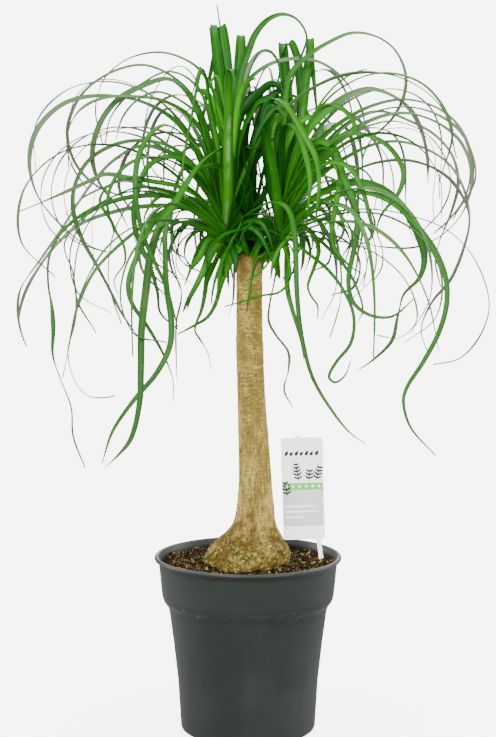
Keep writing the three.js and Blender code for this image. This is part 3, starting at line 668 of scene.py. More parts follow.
def soil_height(x, y):
    """Level of the soil in millimetres: lumpy, mounded round the stem and banked up at the wall."""
    radius = math.hypot(x, y)
    lumps = math.sin(x * 0.21 + 1) * math.cos(y * 0.17) + 0.6 * math.sin(x * 0.09 - y * 0.13 + 2)
    mound = math.exp(-max(0, radius - MOUND_FROM[0]) / MOUND_FROM[1])
    level = SOIL_Z - 0.8 + SOIL_LUMP * lumps + SOIL_MOUND * mound
    level += SOIL_BANK * min(1, max(0, (radius - BANK_FROM[0]) / BANK_FROM[1]))
    place = Vector((x, y, 3))
    return level + noise.fractal(place * 0.11, 0.8, 2.1, 4) + 0.5 * noise.noise(place * 0.5)


def potting_soil(settings):
    """Peat and coir mix: crumbly, matt, nearly black in its gaps, with brown fibres and tan chips."""
    material, tree, shader, coords = new_material("peat_and_coir")
    drawn = speckles(tree, coords, (("clumps", 4, 5, 0.7), ("fibres", 1.2, 4, 0.75)))
    chip = add_node(tree, "ShaderNodeAttribute", output="Fac", attribute_name="chip")
    tone = layered(tree, settings.peat, (
        (drawn["clumps"], 0.5, 0.72, 0, 0.5, settings.coir, None),
        (chip, 0.25, 0.7, 0, 1, settings.coir, None),
        (chip, 0.78, 0.97, 0, 1, settings.chips, None),
        (drawn["fibres"], 0.5, 0.7, 0, 0.6, settings.peat, None),
    ))
    bump = add_node(tree, "ShaderNodeBump", {"Height": drawn["fibres"], "Distance": 0.6 * MM})
    values = {"Base Color": tone, "Roughness": 0.95, "Specular IOR Level": 0.1, "Normal": bump}
    set_inputs(tree, shader, values)
    return material


def crumb_tree():
    """Tree that strews crumbs over the top of the soil."""
    sockets = {"Density": "Float", "Crumb size": "Float", "Seed": "Int", "Material": "Material"}
    tree, (ground, density, size, seed, material) = geometry_tree("strewn_crumbs", sockets)
    chosen = []
    for kind, least in (("Normal", CRUMB_LEVEL), ("Position", (SOIL_Z - CRUMB_DEPTH) * MM)):
        value = add_node(tree, "GeometryNodeInput" + kind)
        value = add_node(tree, "ShaderNodeSeparateXYZ", {0: value}, 2)
        chosen.append(add_node(tree, "FunctionNodeCompare", {0: value, 1: least}, operation="GREATER_THAN"))
    both = add_node(tree, "FunctionNodeBooleanMath", {0: chosen[0], 1: chosen[1]}, operation="AND")
    spots = {"Mesh": ground, "Selection": both, "Density": density, "Seed": seed}
    strewn = add_node(tree, "GeometryNodeDistributePointsOnFaces", spots)
    tint = add_node(tree, "FunctionNodeRandomValue", {"Seed": 3}, 1, data_type="FLOAT")
    marked = add_node(
        tree, "GeometryNodeStoreNamedAttribute", {"Geometry": strewn, "Name": "chip", "Value": tint},
        data_type="FLOAT", domain="POINT",
    )
    crumb = add_node(tree, "GeometryNodeMeshIcoSphere", {"Radius": 0.5, "Subdivisions": 1})
    turn, shape = (
        add_node(tree, "FunctionNodeRandomValue", ends, data_type="FLOAT_VECTOR")
        for ends in ({"Max": CRUMB_TURN, "Seed": 5}, {"Min": CRUMB_LEAST, "Max": CRUMB_MOST, "Seed": 8})
    )
    sized = add_node(tree, "ShaderNodeVectorMath", {0: shape, 3: size}, operation="SCALE")
    laid = {"Points": marked, "Instance": crumb, "Rotation": turn, "Scale": sized}
    laid = add_node(tree, "GeometryNodeInstanceOnPoints", laid)
    joined = add_node(tree, "GeometryNodeJoinGeometry", {0: laid})
    tree.links.new(ground, joined.node.inputs[0])
    return end_tree(tree, joined, material)


def make_soil(settings):
    """Soil that fills the pot's inside a gap away from it, with rings of points over its uneven top."""
    inset = POT_WALL + GAP
    edge = BAND_TOP_RADIUS - inset - 1.2
    outline = [
        (0, POT_FLOOR + GAP), (FOOT_RADIUS - 1.5, POT_FLOOR + GAP),
        (FOOT_RADIUS + 3.4 - POT_WALL, POT_FLOOR + 9), *[(r - inset, z) for r, z in POT_BODY],
        (STEP_RADIUS - inset, STEP_Z), (BAND_EDGE_RADIUS + 1 - inset, BAND_EDGE_Z + 6),
        (edge - 0.8, SOIL_Z - 8), *[(edge * (1 - i / SOIL_RINGS), SOIL_Z) for i in range(SOIL_RINGS)],
        (0, SOIL_Z),
    ]
    mesh = turned_mesh("potting_soil", [(r * MM, z * MM) for r, z in outline], SOIL_SIDES)
    for vertex in mesh.vertices:
        if vertex.co.z > (SOIL_Z - 1) * MM:
            vertex.co.z = soil_height(vertex.co.x / MM, vertex.co.y / MM) * MM
    set_attribute(mesh, "chip", [0.0] * len(mesh.vertices))
    soil = link_object("potting_soil", mesh)
    values = {
        "Density": settings.crumbs, "Crumb size": settings.crumb_size, "Seed": settings.seed,
        "Material": potting_soil(settings),
    }
    run_tree(soil, crumb_tree(), values)
    keep(soil, "soil")


# Label

CARD = {"left": 40.8, "right": 88, "bottom": 213.5, "top": 330, "corner": 3, "thick": 0.9}
CARD_LUG = {"centre": 60, "width": 7, "height": 2.5}
STAKE = {"left": 81.5, "right": 86.3, "point": 150}
CARD_Y = 26
CARD_LEAN = -1.6
CARD_FOOT = Vector((83, CARD_Y, 190))
# Print lies a little proud of the card, and ink on the panel and the band a little prouder
PRINT_PROUD = 0.12
INK_PROUD = 0.05
PANEL_Z = (229, 270.5)
BAND_Z = (270.5, 278.5)
DOTS = {"count": 6, "first": CARD["left"] + 5, "spacing": 7.4, "z": 274.5, "radius": 1.5, "sides": 14}
LINES = {"left": 44, "top": 251, "spacing": 6.2, "thick": 1.6, "lengths": (34, 37, 22)}
LEAFLETS = {
    "count": 7, "first": 45, "spacing": 5.7, "z": 309.5, "length": (7.2, 5.8), "width": 3.8, "lean": 30
}
# Printed sprigs: foot, lean in degrees and pairs of leaflets, of which the middle ones are longest
SPRIG = {"spacing": 4, "longest": 7.4, "shorter": 1.1, "width": 2.3, "spread": 55, "top": 6, "stem": 1.5}
SPRIGS = ((60, 279, -8, 5), (71, 279, 6, 3), (79, 279.5, 16, 4), (47, 262, -8, 4))


def card_place():
    """From the upright plane of the card to its leaning place, millimetres to metres."""
    lean = Matrix.Rotation(math.radians(CARD_LEAN), 4, "Y")
    return Matrix.Scale(MM, 4) @ Matrix.Translation(CARD_FOOT) @ lean @ Matrix.Translation(-CARD_FOOT)


def slab(builder, outline, front, back, slot):
    """Flat piece between two depths, from an outline of x and z pairs."""
    near = [builder.verts.new((x, front, z)) for x, z in outline]
    far = [builder.verts.new((x, back, z)) for x, z in outline]
    made = [builder.faces.new(near), builder.faces.new(list(reversed(far)))]
    for i in range(len(outline)):
        j = (i + 1) % len(outline)
        made.append(builder.faces.new((near[j], near[i], far[i], far[j])))
    for face in made:
        face.material_index = slot


def upright_box(left, right, low, high):
    return [(left, low), (right, low), (right, high), (left, high)]


def card_outline():
    left, right, bottom, top, corner = (CARD[k] for k in ("left", "right", "bottom", "top", "corner"))
    near, far, point = STAKE["left"], STAKE["right"], STAKE["point"]
    lug, half, lug_top = CARD_LUG["centre"], CARD_LUG["width"] / 2, top + CARD_LUG["height"]
    return [
        *arc(left + corner, bottom + corner, corner, 180, 270, 6),
        (near - 5, bottom), (near - 3, bottom - 2), (near, bottom - 30), (near + 1, point + 12),
        ((near + far) / 2, point), (far - 1, point + 12), (far, bottom - 30), (far - 3, bottom - 1),
        (right, bottom + 2), *arc(right - corner, top - corner, corner, 0, 90, 6),
        (lug + half, top), (lug + half - 1, lug_top), (lug - half + 1, lug_top), (lug - half, top),
        *arc(left + corner, top - corner, corner, 90, 180, 6),
    ]


def printed_leaf(x, z, length, width, angle, steps=7):
    """Pointed oval that grows from a foot at an angle from upright."""
    along = Vector((math.sin(math.radians(angle)), math.cos(math.radians(angle))))
    across = Vector((along.y, -along.x))
    sides = []
    for sign in (1, -1):
        side = []
        for t in (i / steps for i in range(steps + 1)):
            bulge = sign * width / 2 * math.sin(math.pi * t**0.8)
            side.append(Vector((x, z)) + along * length * t + across * bulge)
        sides.append(side)
    return [tuple(p) for p in sides[0] + sides[1][-2:0:-1]]


def plain_plastic(name, colour, glow):
    """Smooth sheet plastic with a faint unevenness. A thin white sheet lets light from behind through,
    which the faint glow stands for."""
    material, tree, shader, coords = new_material(name)
    drawn = speckles(tree, coords, (("cloud", 20, 2, 0.55),))
    tone = layered(tree, colour, ((drawn["cloud"], 0.3, 0.7, 0, 0.5, darker(colour, 0.94), None),))
    values = {"Base Color": tone, "Roughness": 0.38, "Emission Color": colour, "Emission Strength": glow}
    set_inputs(tree, shader, values)
    return material


def make_label(settings):
    """Card on its stake with print laid on its front. Slots: 0 card, 1 panel, 2 ink, 3 green."""
    builder = bmesh.new()
    front = CARD_Y - CARD["thick"] / 2
    proud = front - PRINT_PROUD
    slab(builder, card_outline(), front, CARD_Y + CARD["thick"] / 2, 0)
    for heights, slot in ((PANEL_Z, 1), (BAND_Z, 3)):
        slab(builder, upright_box(CARD["left"] + 1, CARD["right"] - 1, *heights), proud, front, slot)
    for i in range(DOTS["count"]):
        x, size = DOTS["first"] + DOTS["spacing"] * i, DOTS["radius"]
        turns = np.linspace(0, 5.8, DOTS["sides"])
        dot = [(x + size * math.cos(a), DOTS["z"] + size * math.sin(a)) for a in turns]
        slab(builder, dot, proud - INK_PROUD, proud, 0)
    for row, length in enumerate(LINES["lengths"]):
        z = LINES["top"] - LINES["spacing"] * row
        line = upright_box(LINES["left"], LINES["left"] + length, z, z + LINES["thick"])
        slab(builder, line, proud - INK_PROUD, proud, 0)
    for x, z, lean, pairs in SPRIGS:
        rise = math.radians(lean)
        for i in range(1, pairs + 1):
            done = SPRIG["spacing"] * i
            foot = (x + done * math.sin(rise), z + done * math.cos(rise))
            size = SPRIG["longest"] - SPRIG["shorter"] * abs(i - 0.4 * pairs)
            for angle in (lean + SPRIG["spread"], lean - SPRIG["spread"]):
                slab(builder, printed_leaf(*foot, size, SPRIG["width"], angle), proud - 0.01 * i, front, 2)
        height = SPRIG["spacing"] * pairs + SPRIG["top"]
        slab(builder, printed_leaf(x, z, height, SPRIG["stem"], lean), proud - 0.08, front, 2)
    for i in range(LEAFLETS["count"]):
        x, length = LEAFLETS["first"] + LEAFLETS["spacing"] * i, LEAFLETS["length"][i % 2]
        leaflet = printed_leaf(x, LEAFLETS["z"], length, LEAFLETS["width"], LEAFLETS["lean"])
        slab(builder, leaflet, proud, front, 2)
    bmesh.ops.recalc_face_normals(builder, faces=builder.faces)
    mesh = to_mesh("plant_label", builder)
    mesh.transform(card_place())
    label = link_object("plant_label", mesh)
    for name, colour, glow in (
        ("white_card_plastic", settings.card, 2.0), ("pale_grey_print", settings.panel, 1.0),
        ("dark_grey_print", settings.ink, 0), ("light_green_print", settings.green, 0.7),
    ):
        label.data.materials.append(plain_plastic(name, colour, glow))
    keep(label, "label")


# Leaves

# The camera's distance and height, in millimetres, along whose sight lines the drawn leaves lie
EYE_DISTANCE = 2600
EYE_HEIGHT = 760
# Heads: foot and lean of the stub, number of leaves grown by rule, heading of the first, and shade, which
# is partly painted light and shade
HEADS = [
    {"name": "left", "base": (-21, -2, 550), "lean": (-0.22, -0.06, 1), "grown": 13, "start": 70,
     "shade": 0.6},
    {"name": "right", "base": (31, -2, 549), "lean": (0.3, -0.06, 1), "grown": 15, "start": -50,
     "shade": 0.75},
    {"name": "back", "base": (4, 22, 550), "lean": (0.06, 0.3, 1), "grown": 24, "start": 90,
     "shade": 0.42},
]
CORE_RADIUS = 9.5
CORE_HALF = 17
# Roots sit this high on a head's axis, from the flattest leaf to the steepest
ROOT_HEIGHT = (4, 20)
ROOT_SPAN = 90
# Leaves grown by rule. A pair is the least and what the most adds to it, unless it says otherwise.
# Launch is the angle over the horizon of the youngest and the change to the oldest
GOLDEN_ANGLE = 137.508
SHARES = (0.8191725, 0.6710436, 0.5497005)
LEAF_LENGTH = (340, 120)
LEAF_WIDTH = (7.5, 4)
LAUNCH = (84, -62)
DROOP = (165, 70)
DROOP_POWER = 1.8
SWAY = 50
GROWN_POINTS = 7
GROWN_TURN = 160
SHORTER = 0.03
# Room that leaves of two heads keep between them, and how far a leaf is shifted at each try: these,
# with the rule for grown leaves, are what places the solids' leaves too
CLEAR_SAMPLES = 60
CLEAR_LEAST = 6.5
CLEAR_TRIES = 14
CLEAR_STEP = 6
CLEAR_SKIN = 0.6
DEPTH_SHIFT = 7
HEADING_SHIFT = 5
STEM_ROOM = {"start": (3, 0, 300), "way": (0, 0, 1), "length": 225, "reach": 15.5}
# Where leaves grown by rule may be: inside the crown, and not in front of the stem or the hearts
CROWN_REACH = 255
CROWN_DEPTH = 0.86
CROWN_WAIST = 560
CROWN_RISE = 215
THIN_REACH = 243
STEM_X = 3
STEM_HALF = 36
STEM_TOP = 545
STEM_FRONT = -20
HEART_X = 5
HEART_HALF = 60
HEART_FOOT = 575
HEART_FRONT = -24
HEART_REACH = 95
LOW_HALF = 40
LOW_TOP = 585
# Inside the heart leaves are young and painted bright, as painted light in the shaded heart, and outside
# it they are painted darker, as painted shade, and are as aged as they get
HEART = (5, 0, 610)
HEART_SIZE = 75
HEART_AGED = 0.15
OUTER_SHADE = 0.6
# Blades: how early they narrow, where 1 is a straight run to the tip, their widths at the tip here and
# in the solids, and the width that the margin adds
TAPER = 0.55
YOUNG_TAPER = 0.32
OLD_TAPER = 0.47
TIP_WIDTH = 0.9
CAD_TIP_WIDTH = 1.5
PADDED_WIDTH = 0.6
# Facets along a blade: samples that measure it, the fewest it has, and the nudge that finds its way
LENGTH_SAMPLES = 120
FEWEST_STEPS = 16
NUDGE = 1e-4
# A leaf that is drawn to end over this height is a tall one
UPRIGHT_END = 600
# Ageing with the reach of a leaf, less towards the front, and the twist of old blades
AGED_FROM = 80
AGED_OVER = 140
OLDEST = 0.8
FRESH_LEAST = 0.15
FRESH_OVER = 100
TWIST = (300, 34)
TWIST_FROM = 0.45
TWIST_WAVES = 3.5
# Shades: change and most of young and of aged leaves, and the depth in mm that takes a whole shade away.
# Leaves further back are painted darker, as painted shade, and young ones in the shaded hearts brighter,
# partly as painted light
YOUNG_SHADE = (0.5, 1)
AGED_SHADE = (-0.16, 0.7)
SHADE_SPREAD = 0.45
SHADE_DEPTH = 500
YOUNG_DEPTH = 30
SHORT_SHADE = (0.5, 0.5)
# Dark rows are painted shade in the hearts, and the tall ones go below 0, into painted deep shade
DARK_SHADE = (0, 0.2)
TALL_DARK_Z = 640
TALL_DARKER = 0.35
# Old leaves that sheathe the stubs
SHEATHS = 20
SHEATH_LENGTH = (85, 95)
SHEATH_WIDTH = (7, 4)
SHEATH_FRONT = 50
SHEATH_FOOT = (0.05, 0.8)
SHEATH_POINTS = 6
SHEATH_SUNK = 1.2
# Thread-like leaves
THIN_START = 40
THIN_LENGTH = (330, 210)
THIN_WIDTH = (2.5, 3)
THIN_RANK = (0.1, 0.75)
THIN_SWAY = 80
THIN_CURL = 260
# Low leaves that reach forward: rank, way aside and droop of the first, with the change to the next.
# They reach no further than this to the sides and to the front
FRONT_LEAVES = 3
FRONT_RANK = (1.06, -0.15)
FRONT_ASIDE = (22, 10)
FRONT_DROOP = (95, 45)
FRONT_LENGTH = (350, 40)
FRONT_REACH = (190, 300)

# Drawn leaves: width, depth of the tip, turn of the blade from root to tip in degrees, the path from
# beyond the root as x and z pairs in millimetres, and in some a painted highlight down the channel and
# the shade along it, which is partly the leaf's own green and partly painted light and shade
LEFT_LEAVES = [
    [10, -14, [-55, -10, -60, -20, 30], [-70, 675, -110, 704, -155, 713, -200, 705, -231, 676, -240, 640,
        -231, 602, -207, 572, -180, 550, -155, 541]],
    [7, 34, [-50, -15, -35, -70, 20], [-50, 690, -74, 727, -112, 746, -150, 738, -182, 714, -198, 676, -190,
        640, -166, 614, -128, 600]],
    [10, -24, [-65, -15, -60, -80, -20], [-50, 680, -68, 717, -87, 731, -114, 724, -143, 708, -163, 681, -171,
        647, -163, 617, -143, 590, -131, 566]],
    [5, 14, [-40, -20, -50, 0], [-46, 705, -66, 732, -88, 739, -113, 728, -135, 710, -151, 688, -157, 660]],
    [5, 48, [-60, -20, -40, 0], [-32, 700, -52, 740, -75, 755, -100, 760, -133, 752, -158, 730, -167, 698,
        -159, 658]],
    [7, -48, [-60, -30, -20, 0], [-48, 682, -70, 705, -98, 717, -120, 709, -137, 690, -145, 665]],
    [8, -38, [-65, -25, -30, 0], [-48, 668, -67, 693, -95, 708, -125, 712, -155, 711, -178, 702, -193, 686,
        -199, 660, -193, 636, -178, 612]],
    [9, -32, [-60, -20, -40, -60, 10], [-46, 618, -68, 645, -92, 660, -123, 664, -150, 658, -176, 641, -191,
        612, -192, 585, -183, 556, -166, 525, -150, 494, -139, 472, -122, 448]],
    [8, 18, [-60, -30, -50, -20], [-46, 614, -70, 641, -93, 654, -118, 658, -144, 645, -166, 624, -184, 600,
        -206, 566, -230, 532, -251, 502, -255, 478, -252, 454, -246, 437]],
    [8, -60, [-35, -50, -60, -20], [-48, 597, -75, 613, -105, 619, -135, 624, -157, 627, -174, 620, -202, 607,
        -233, 594, -252, 586]],
    [8, 50, [-30, -50, -40, 10], [-55, 585, -85, 592, -120, 591, -150, 585, -185, 572, -212, 549, -235, 518,
        -248, 493, -254, 465, -249, 443]],
    [13, -128, [50, 20, -20, -40, -60, 10], [-20, 622, -26, 656, -51, 640, -65, 621, -79, 598, -96, 572, -107,
        540, -113, 498, -118, 455, -119, 410, -121, 372, -131, 332, -145, 314, -160, 300]],
    [11, -100, [40, 0, -30, -60, 10], [-30, 634, -56, 632, -76, 606, -90, 570, -91, 532, -90, 503, -85, 465,
        -87, 436, -102, 406, -128, 375, -151, 341, -163, 305]],
    [9, -112, [-50, -10, -60, -30], [-45, 640, -70, 670, -90, 681, -106, 672, -119, 650, -124, 620, -122, 588,
        -114, 555, -102, 528, -88, 496, -78, 458]],
    [9, -56, [-50, -40, -60, 0], [-48, 622, -70, 642, -90, 646, -110, 635, -121, 610, -126, 580, -120, 553,
        -109, 528, -100, 497, -97, 474, -78, 456]],
    [9, -78, [-40, -50, -30, 10], [-55, 590, -80, 592, -105, 573, -121, 540, -132, 508, -129, 486, -112, 460,
        -95, 430, -84, 400, -83, 375]],
    [6, 58, [-30, -20, -40, 0], [-50, 588, -79, 602, -105, 611, -135, 620, -160, 612, -182, 601, -202, 582]],
    [6, 14, [-30, -60, -20, 10], [-50, 572, -66, 575, -80, 558, -87, 540, -83, 519, -75, 504, -74, 488, -79,
        466, -80, 440, -79, 400]],
    [9, -22, [-60, -40, -10], [-46, 556, -56, 540, -62, 526, -70, 505]],
    [9, -42, [-60, -50, -20], [-38, 556, -46, 530, -55, 508, -64, 490, -67, 478]],
    [7, -24, [-50, -60, -10, 0], [-38, 552, -44, 525, -47, 500, -51, 478, -59, 455, -53, 444, -45, 430, -41,
        412]],
    [7, -30, [-20, -50, -20], [-30, 545, -25, 522, -31, 502, -36, 484, -45, 469, -61, 459, -78, 450]],
    [6, 88, [-40, -30, -60, 0], [-55, 596, -100, 603, -150, 596, -188, 574, -203, 548, -194, 520, -190, 488,
        -192, 463, -200, 430, -193, 398, -178, 381, -160, 379, -148, 381]],
    [8, -88, [-30, -40, -30, -10, 0, -90, -170, -100, -30], [-60, 594, -110, 604, -165, 592, -203, 566, -219,
        538, -221, 505, -217, 480, -216, 455, -217, 428, -208, 399, -197, 368, -195, 335, -182, 300]],
    [7, -50, [-50, -30, -40, 0], [-60, 592, -88, 589, -112, 573, -142, 549, -169, 521, -185, 490, -193, 464,
        -200, 430, -206, 402]],
    [5, -106, [-30, -20, -60, 20], [-60, 610, -110, 625, -150, 617, -163, 598, -152, 578, -145, 563, -137,
        548, -136, 530, -148, 510, -144, 495]],
    [14, 112, [0, 20, 10, 0], [-22, 640, -27, 705, -34, 760, -38, 785, -38, 782, -36, 755, -34, 715, -38,
        660], 0, 0.4],
    [13, 128, [10, -20, 0], [-17, 640, -19, 700, -24, 765, -28, 788, -31, 786, -36, 760, -45, 715, -52, 665],
        0, 0.3],
    [3, 74, [0, 0], [-17, 650, -20, 710, -27, 765, -31, 792, -34, 811]],
    [15, 70, [10, 0, -10, 0], [-22, 600, -21, 650, -20, 700, -20, 732, -19, 742, -18, 736, -16, 705, -14,
        660], 0, 0.5],
    [13, 112, [-20, 10, 0], [-18, 640, -14, 700, -10, 750, -8, 777, -7, 777, -4, 750, 2, 712, 8, 670], 0,
        0.3],
    [6, -92, [20, -30, -60, 0], [-32, 650, -41, 700, -47, 736, -51, 743, -55, 728, -61, 695, -68, 660, -72,
        630, -69, 600]],
    [10, 34, [70, 50, 10, 60], [-18, 640, -13, 700, -8, 737, 0, 760, 9, 781, 23, 796, 39, 801, 54, 795, 64,
        777, 57, 753, 49, 731, 46, 710], 0, 0.3],
    [7, -22, [60, 20, 50], [-14, 650, -6, 710, 4, 745, 12, 760, 22, 762, 32, 751, 36, 728], 0, 0.3],
    [8, 60, [40, 20, 50, 0], [-14, 640, -10, 690, -2, 725, 12, 740, 29, 749, 50, 753, 73, 751, 90, 743, 106,
        729, 118, 712, 126, 693, 129, 668]],
    [10, 58, [60, 70, 50, 20], [-16, 610, -14, 668, -6, 694, 8, 711, 20, 724, 31, 726, 42, 716, 50, 698, 54,
        665], 0, [0.35, 0.15, 0.1, 0.3]],
    [8, -102, [20, 30, 60, 70, 10], [-12, 574, 6, 588, 29, 597, 44, 589, 51, 564, 53, 530, 54, 500, 57, 465,
        62, 436, 72, 401, 91, 368, 112, 341, 132, 326], 0, 0.28],
]
RIGHT_LEAVES = [
    [7, 26, [30, 60, 20, 70, 30], [38, 620, 40, 690, 46, 735, 64, 755, 87, 770, 114, 781, 140, 777, 160, 763,
        172, 737, 170, 711, 157, 687, 136, 666, 126, 645, 126, 621]],
    [16, 108, [0, 10, 0], [40, 640, 43, 700, 40, 745, 38, 769, 38, 768, 38, 745, 37, 700], 0, 0.22],
    [13, 104, [20, -10, 0], [50, 640, 59, 695, 57, 728, 53, 757, 46, 771, 40, 762, 34, 735, 28, 700], 0,
        0.35],
    [13, 70, [-10, 10, 0], [50, 640, 60, 695, 64, 734, 68, 766, 68, 775, 69, 760, 72, 730, 76, 690], 0.5,
        0.5],
    [11, -78, [-30, 20, 60, 40], [24, 620, 20, 680, 27, 709, 40, 704, 52, 687, 64, 666, 74, 646, 78, 622, 77,
        600, 74, 572], 0, [0, 0, 0.1, 0.5, 0.6, 0.6, 0.6, 0.5]],
    [10, -58, [-20, 30, 60, 0], [36, 640, 42, 682, 52, 678, 62, 652, 68, 625, 67, 598, 64, 570], 0, [0, 0.1,
        0.4, 0.6, 0.6]],
    [12, 26, [60, 50, 15, 30], [50, 640, 66, 676, 87, 697, 110, 713, 134, 720, 158, 713, 178, 697, 190, 675,
        197, 645, 198, 617]],
    [9, -30, [50, 20, 60, 20], [52, 640, 66, 680, 82, 700, 97, 702, 111, 691, 120, 673, 125, 648, 126, 625]],
    [4, 58, [30, 10], [58, 660, 79, 704, 99, 727, 119, 739, 131, 742]],
    [9, 42, [60, 30, 10, 60, 20, 40], [58, 635, 80, 665, 102, 684, 136, 702, 172, 709, 205, 701, 230, 681,
        244, 650, 246, 617, 236, 584, 214, 560, 185, 547, 150, 547, 122, 552]],
    [10, -38, [60, 40, 10, 60, 20], [56, 625, 80, 655, 110, 673, 145, 690, 175, 694, 205, 685, 232, 664, 244,
        635, 240, 605, 224, 580, 205, 562]],
    [8, 74, [50, 20, 60, 30], [60, 625, 90, 665, 118, 688, 145, 696, 178, 685, 205, 670, 224, 648, 231, 618,
        224, 586, 211, 552, 207, 530, 213, 503]],
    [5, 96, [40, 10, 30], [60, 625, 100, 665, 135, 681, 163, 685, 195, 672, 215, 648, 223, 617, 214, 589, 194,
        566]],
    [8, 54, [50, 20, 30, 60, 10], [55, 600, 85, 630, 114, 649, 139, 660, 165, 663, 195, 655, 221, 638, 238,
        609, 244, 575, 238, 546, 224, 511, 203, 485, 192, 455, 199, 431]],
    [12, -66, [40, 50, 60, 120, 220, 260], [55, 585, 82, 607, 115, 618, 145, 612, 170, 591, 186, 565, 195,
        535, 190, 513, 172, 494, 166, 470, 160, 443, 141, 423, 121, 409]],
    [9, -96, [30, 40, 50, 60, 10], [60, 580, 90, 600, 125, 607, 155, 598, 180, 577, 204, 547, 218, 515, 220,
        485, 212, 453, 194, 418, 177, 391, 173, 375, 181, 346, 209, 314]],
    [8, -86, [40, 30, 60, 150, 220], [58, 610, 85, 655, 114, 671, 141, 666, 160, 651, 171, 628, 165, 605, 148,
        584, 142, 566, 148, 545, 148, 525, 138, 508]],
    [9, -76, [40, 60, 50, 20], [50, 620, 75, 655, 92, 655, 101, 635, 110, 613, 119, 590, 121, 565, 116, 540,
        111, 508, 117, 485, 136, 471, 160, 470, 183, 489]],
    [10, -54, [50, 60, 80, 0], [54, 636, 76, 663, 94, 655, 102, 630, 98, 600, 93, 570, 95, 547, 110, 528, 125,
        518]],
    [6, -56, [30, 20, 50, 0], [46, 556, 62, 543, 88, 522, 106, 498, 117, 470, 114, 440, 98, 419, 90, 402, 97,
        396, 108, 404, 114, 420]],
    [7, -36, [40, 20, 30, 0], [52, 573, 70, 562, 87, 547, 108, 524, 121, 500, 127, 476, 121, 463]],
    [7, -22, [30, 60, 20, 60], [50, 564, 67, 566, 78, 545, 73, 525, 66, 503, 70, 492, 77, 482, 77, 468]],
    [5, 42, [30, 10, 40, 0], [55, 560, 85, 556, 121, 549, 150, 534, 173, 512, 186, 483, 186, 463, 168, 446,
        143, 449]],
    [5, 106, [20, 10, 20, 0], [60, 574, 91, 585, 130, 589, 170, 584, 216, 568, 244, 543, 262, 508, 267, 478,
        256, 446, 235, 423, 206, 416]],
    [6, 48, [40, 50, 10], [56, 606, 82, 631, 108, 636, 129, 630, 141, 608, 139, 588]],
    [8, -108, [30, 50, 60, 20], [60, 620, 90, 640, 112, 634, 125, 612, 133, 585, 137, 560, 127, 551]],
    [9, -36, [20, 70, 30, 10], [34, 545, 33, 530, 29, 510, 24, 485, 23, 465, 31, 449, 45, 430, 45, 410, 40,
        388, 50, 368]],
    [4, -36, [0, 30, 0], [41, 545, 46, 512, 35, 497, 15, 493, -8, 486, -26, 481]],
    [8, -22, [40, 60, 20], [42, 546, 43, 520, 44, 498, 51, 471, 60, 440, 62, 420]],
    [4, -34, [0, 60, 0], [22, 560, 12, 545, 6, 524, 2, 504, 0, 488]],
    [8, -42, [30, 60, 20], [52, 578, 49, 563, 36, 547, 28, 530, 25, 512]],
]

# Inner leaves that fill the heads' hearts, drawn in the same way
LEFT_INNER = [
    [10, -34, [30, 60, 40, 20], [-13, 623, -11, 651, -3, 681, 4, 693, 11, 705, 18, 708, 26, 709, 33, 705, 44,
        698, 56, 683, 65, 668, 73, 651, 78, 626], 0, [0.4, 0.2, 0.1, 0.3, 0.5]],
    [9, -34, [-20, -50, -20, 0], [-7, 580, -9, 568, -17, 555, -27, 535, -34, 519, -39, 499, -41, 483]],
    [12, -36, [-40, -60, -30], [-30, 556, -42, 555, -51, 540, -60, 527, -65, 523]],
    [10, -46, [-50, -40, -20], [-29, 551, -37, 545, -47, 525, -57, 505, -66, 489, -72, 475]],
    [7, -30, [-50, -30, 0], [-31, 541, -41, 519, -46, 505, -49, 488, -52, 471]],
    [20, -18, [10, 0, -10], [-11, 550, -17, 543, -21, 531, -25, 514]],
    [8, -24, [-50, -30, 0], [-24, 544, -29, 530, -32, 510, -34, 490]],
    [11, 10, [-10, -20, 0], [-18, 610, -21, 643, -27, 675, -37, 703, -47, 717, -57, 719]],
    [11, -20, [10, -10, 0], [-19, 610, -16, 654, -13, 686, -9, 713, -1, 728, 9, 732]],
    [13, -90, [0, 10, 0, -10], [-22, 610, -22, 654, -21, 692, -21, 724, -20, 741, -17, 739, -13, 717], 1,
        [0.5, 0.6, 0.5, 0.45]],
    [9, -12, [-10, -20, 0], [-13, 610, -29, 665, -39, 703, -45, 724, -48, 741, -52, 742, -60, 719, -63, 703]],
    [11, 116, [0, 10, 0], [-19, 640, -24, 700, -29, 755, -33, 783, -34, 785, -33, 760, -32, 720]],
    [12, 108, [0, 10, 0], [-21, 640, -27, 700, -33, 755, -37, 787, -38, 789, -37, 760, -36, 720], 0, 0.45],
    [8, -20, [-20, -40, 0], [-15, 599, -24, 643, -32, 686, -37, 714, -39, 730, -35, 734, -30, 721, -27, 703]],
]
RIGHT_INNER = [
    [9, -42, [0, 40, 0], [12, 547, 7, 532, 4, 514, 3, 500, 0, 487], 0, 0.5],
    [8, -36, [20, 60, 80, 30], [40, 558, 46, 560, 42, 552, 29, 539, 19, 525, 9, 516, -1, 510]],
    [7, -27, [30, 60, 40], [22, 544, 15, 537, 8, 534, 1, 529]],
    [5, -32, [0, 40, 0], [15, 537, 9, 528, 4, 510, 0, 488, -1, 475]],
    [17, -16, [-10, 10, 10], [27, 545, 31, 530, 35, 512]],
    [7, -12, [30, 20, 60], [40, 610, 46, 637, 57, 656, 70, 665, 83, 662, 92, 651]],
    [7, -22, [30, 50, 20], [42, 604, 53, 626, 68, 643, 86, 645, 97, 632, 101, 612]],
    [6, -30, [20, 60, 20], [39, 599, 44, 621, 51, 643, 55, 659, 60, 667, 68, 665, 71, 648]],
    [7, -44, [40, 20, 60], [40, 593, 57, 615, 77, 625, 95, 621, 106, 604, 110, 582]],
    [9, 12, [0, 30, 10], [31, 604, 26, 637, 26, 665, 31, 689, 39, 708, 50, 713, 59, 704]],
    [9, 24, [20, 40, 10], [35, 610, 37, 643, 46, 670, 59, 686, 72, 689, 81, 678, 86, 659]],
    [8, -20, [30, 60, 20], [41, 610, 53, 643, 64, 675, 74, 695, 88, 704, 101, 699]],
]
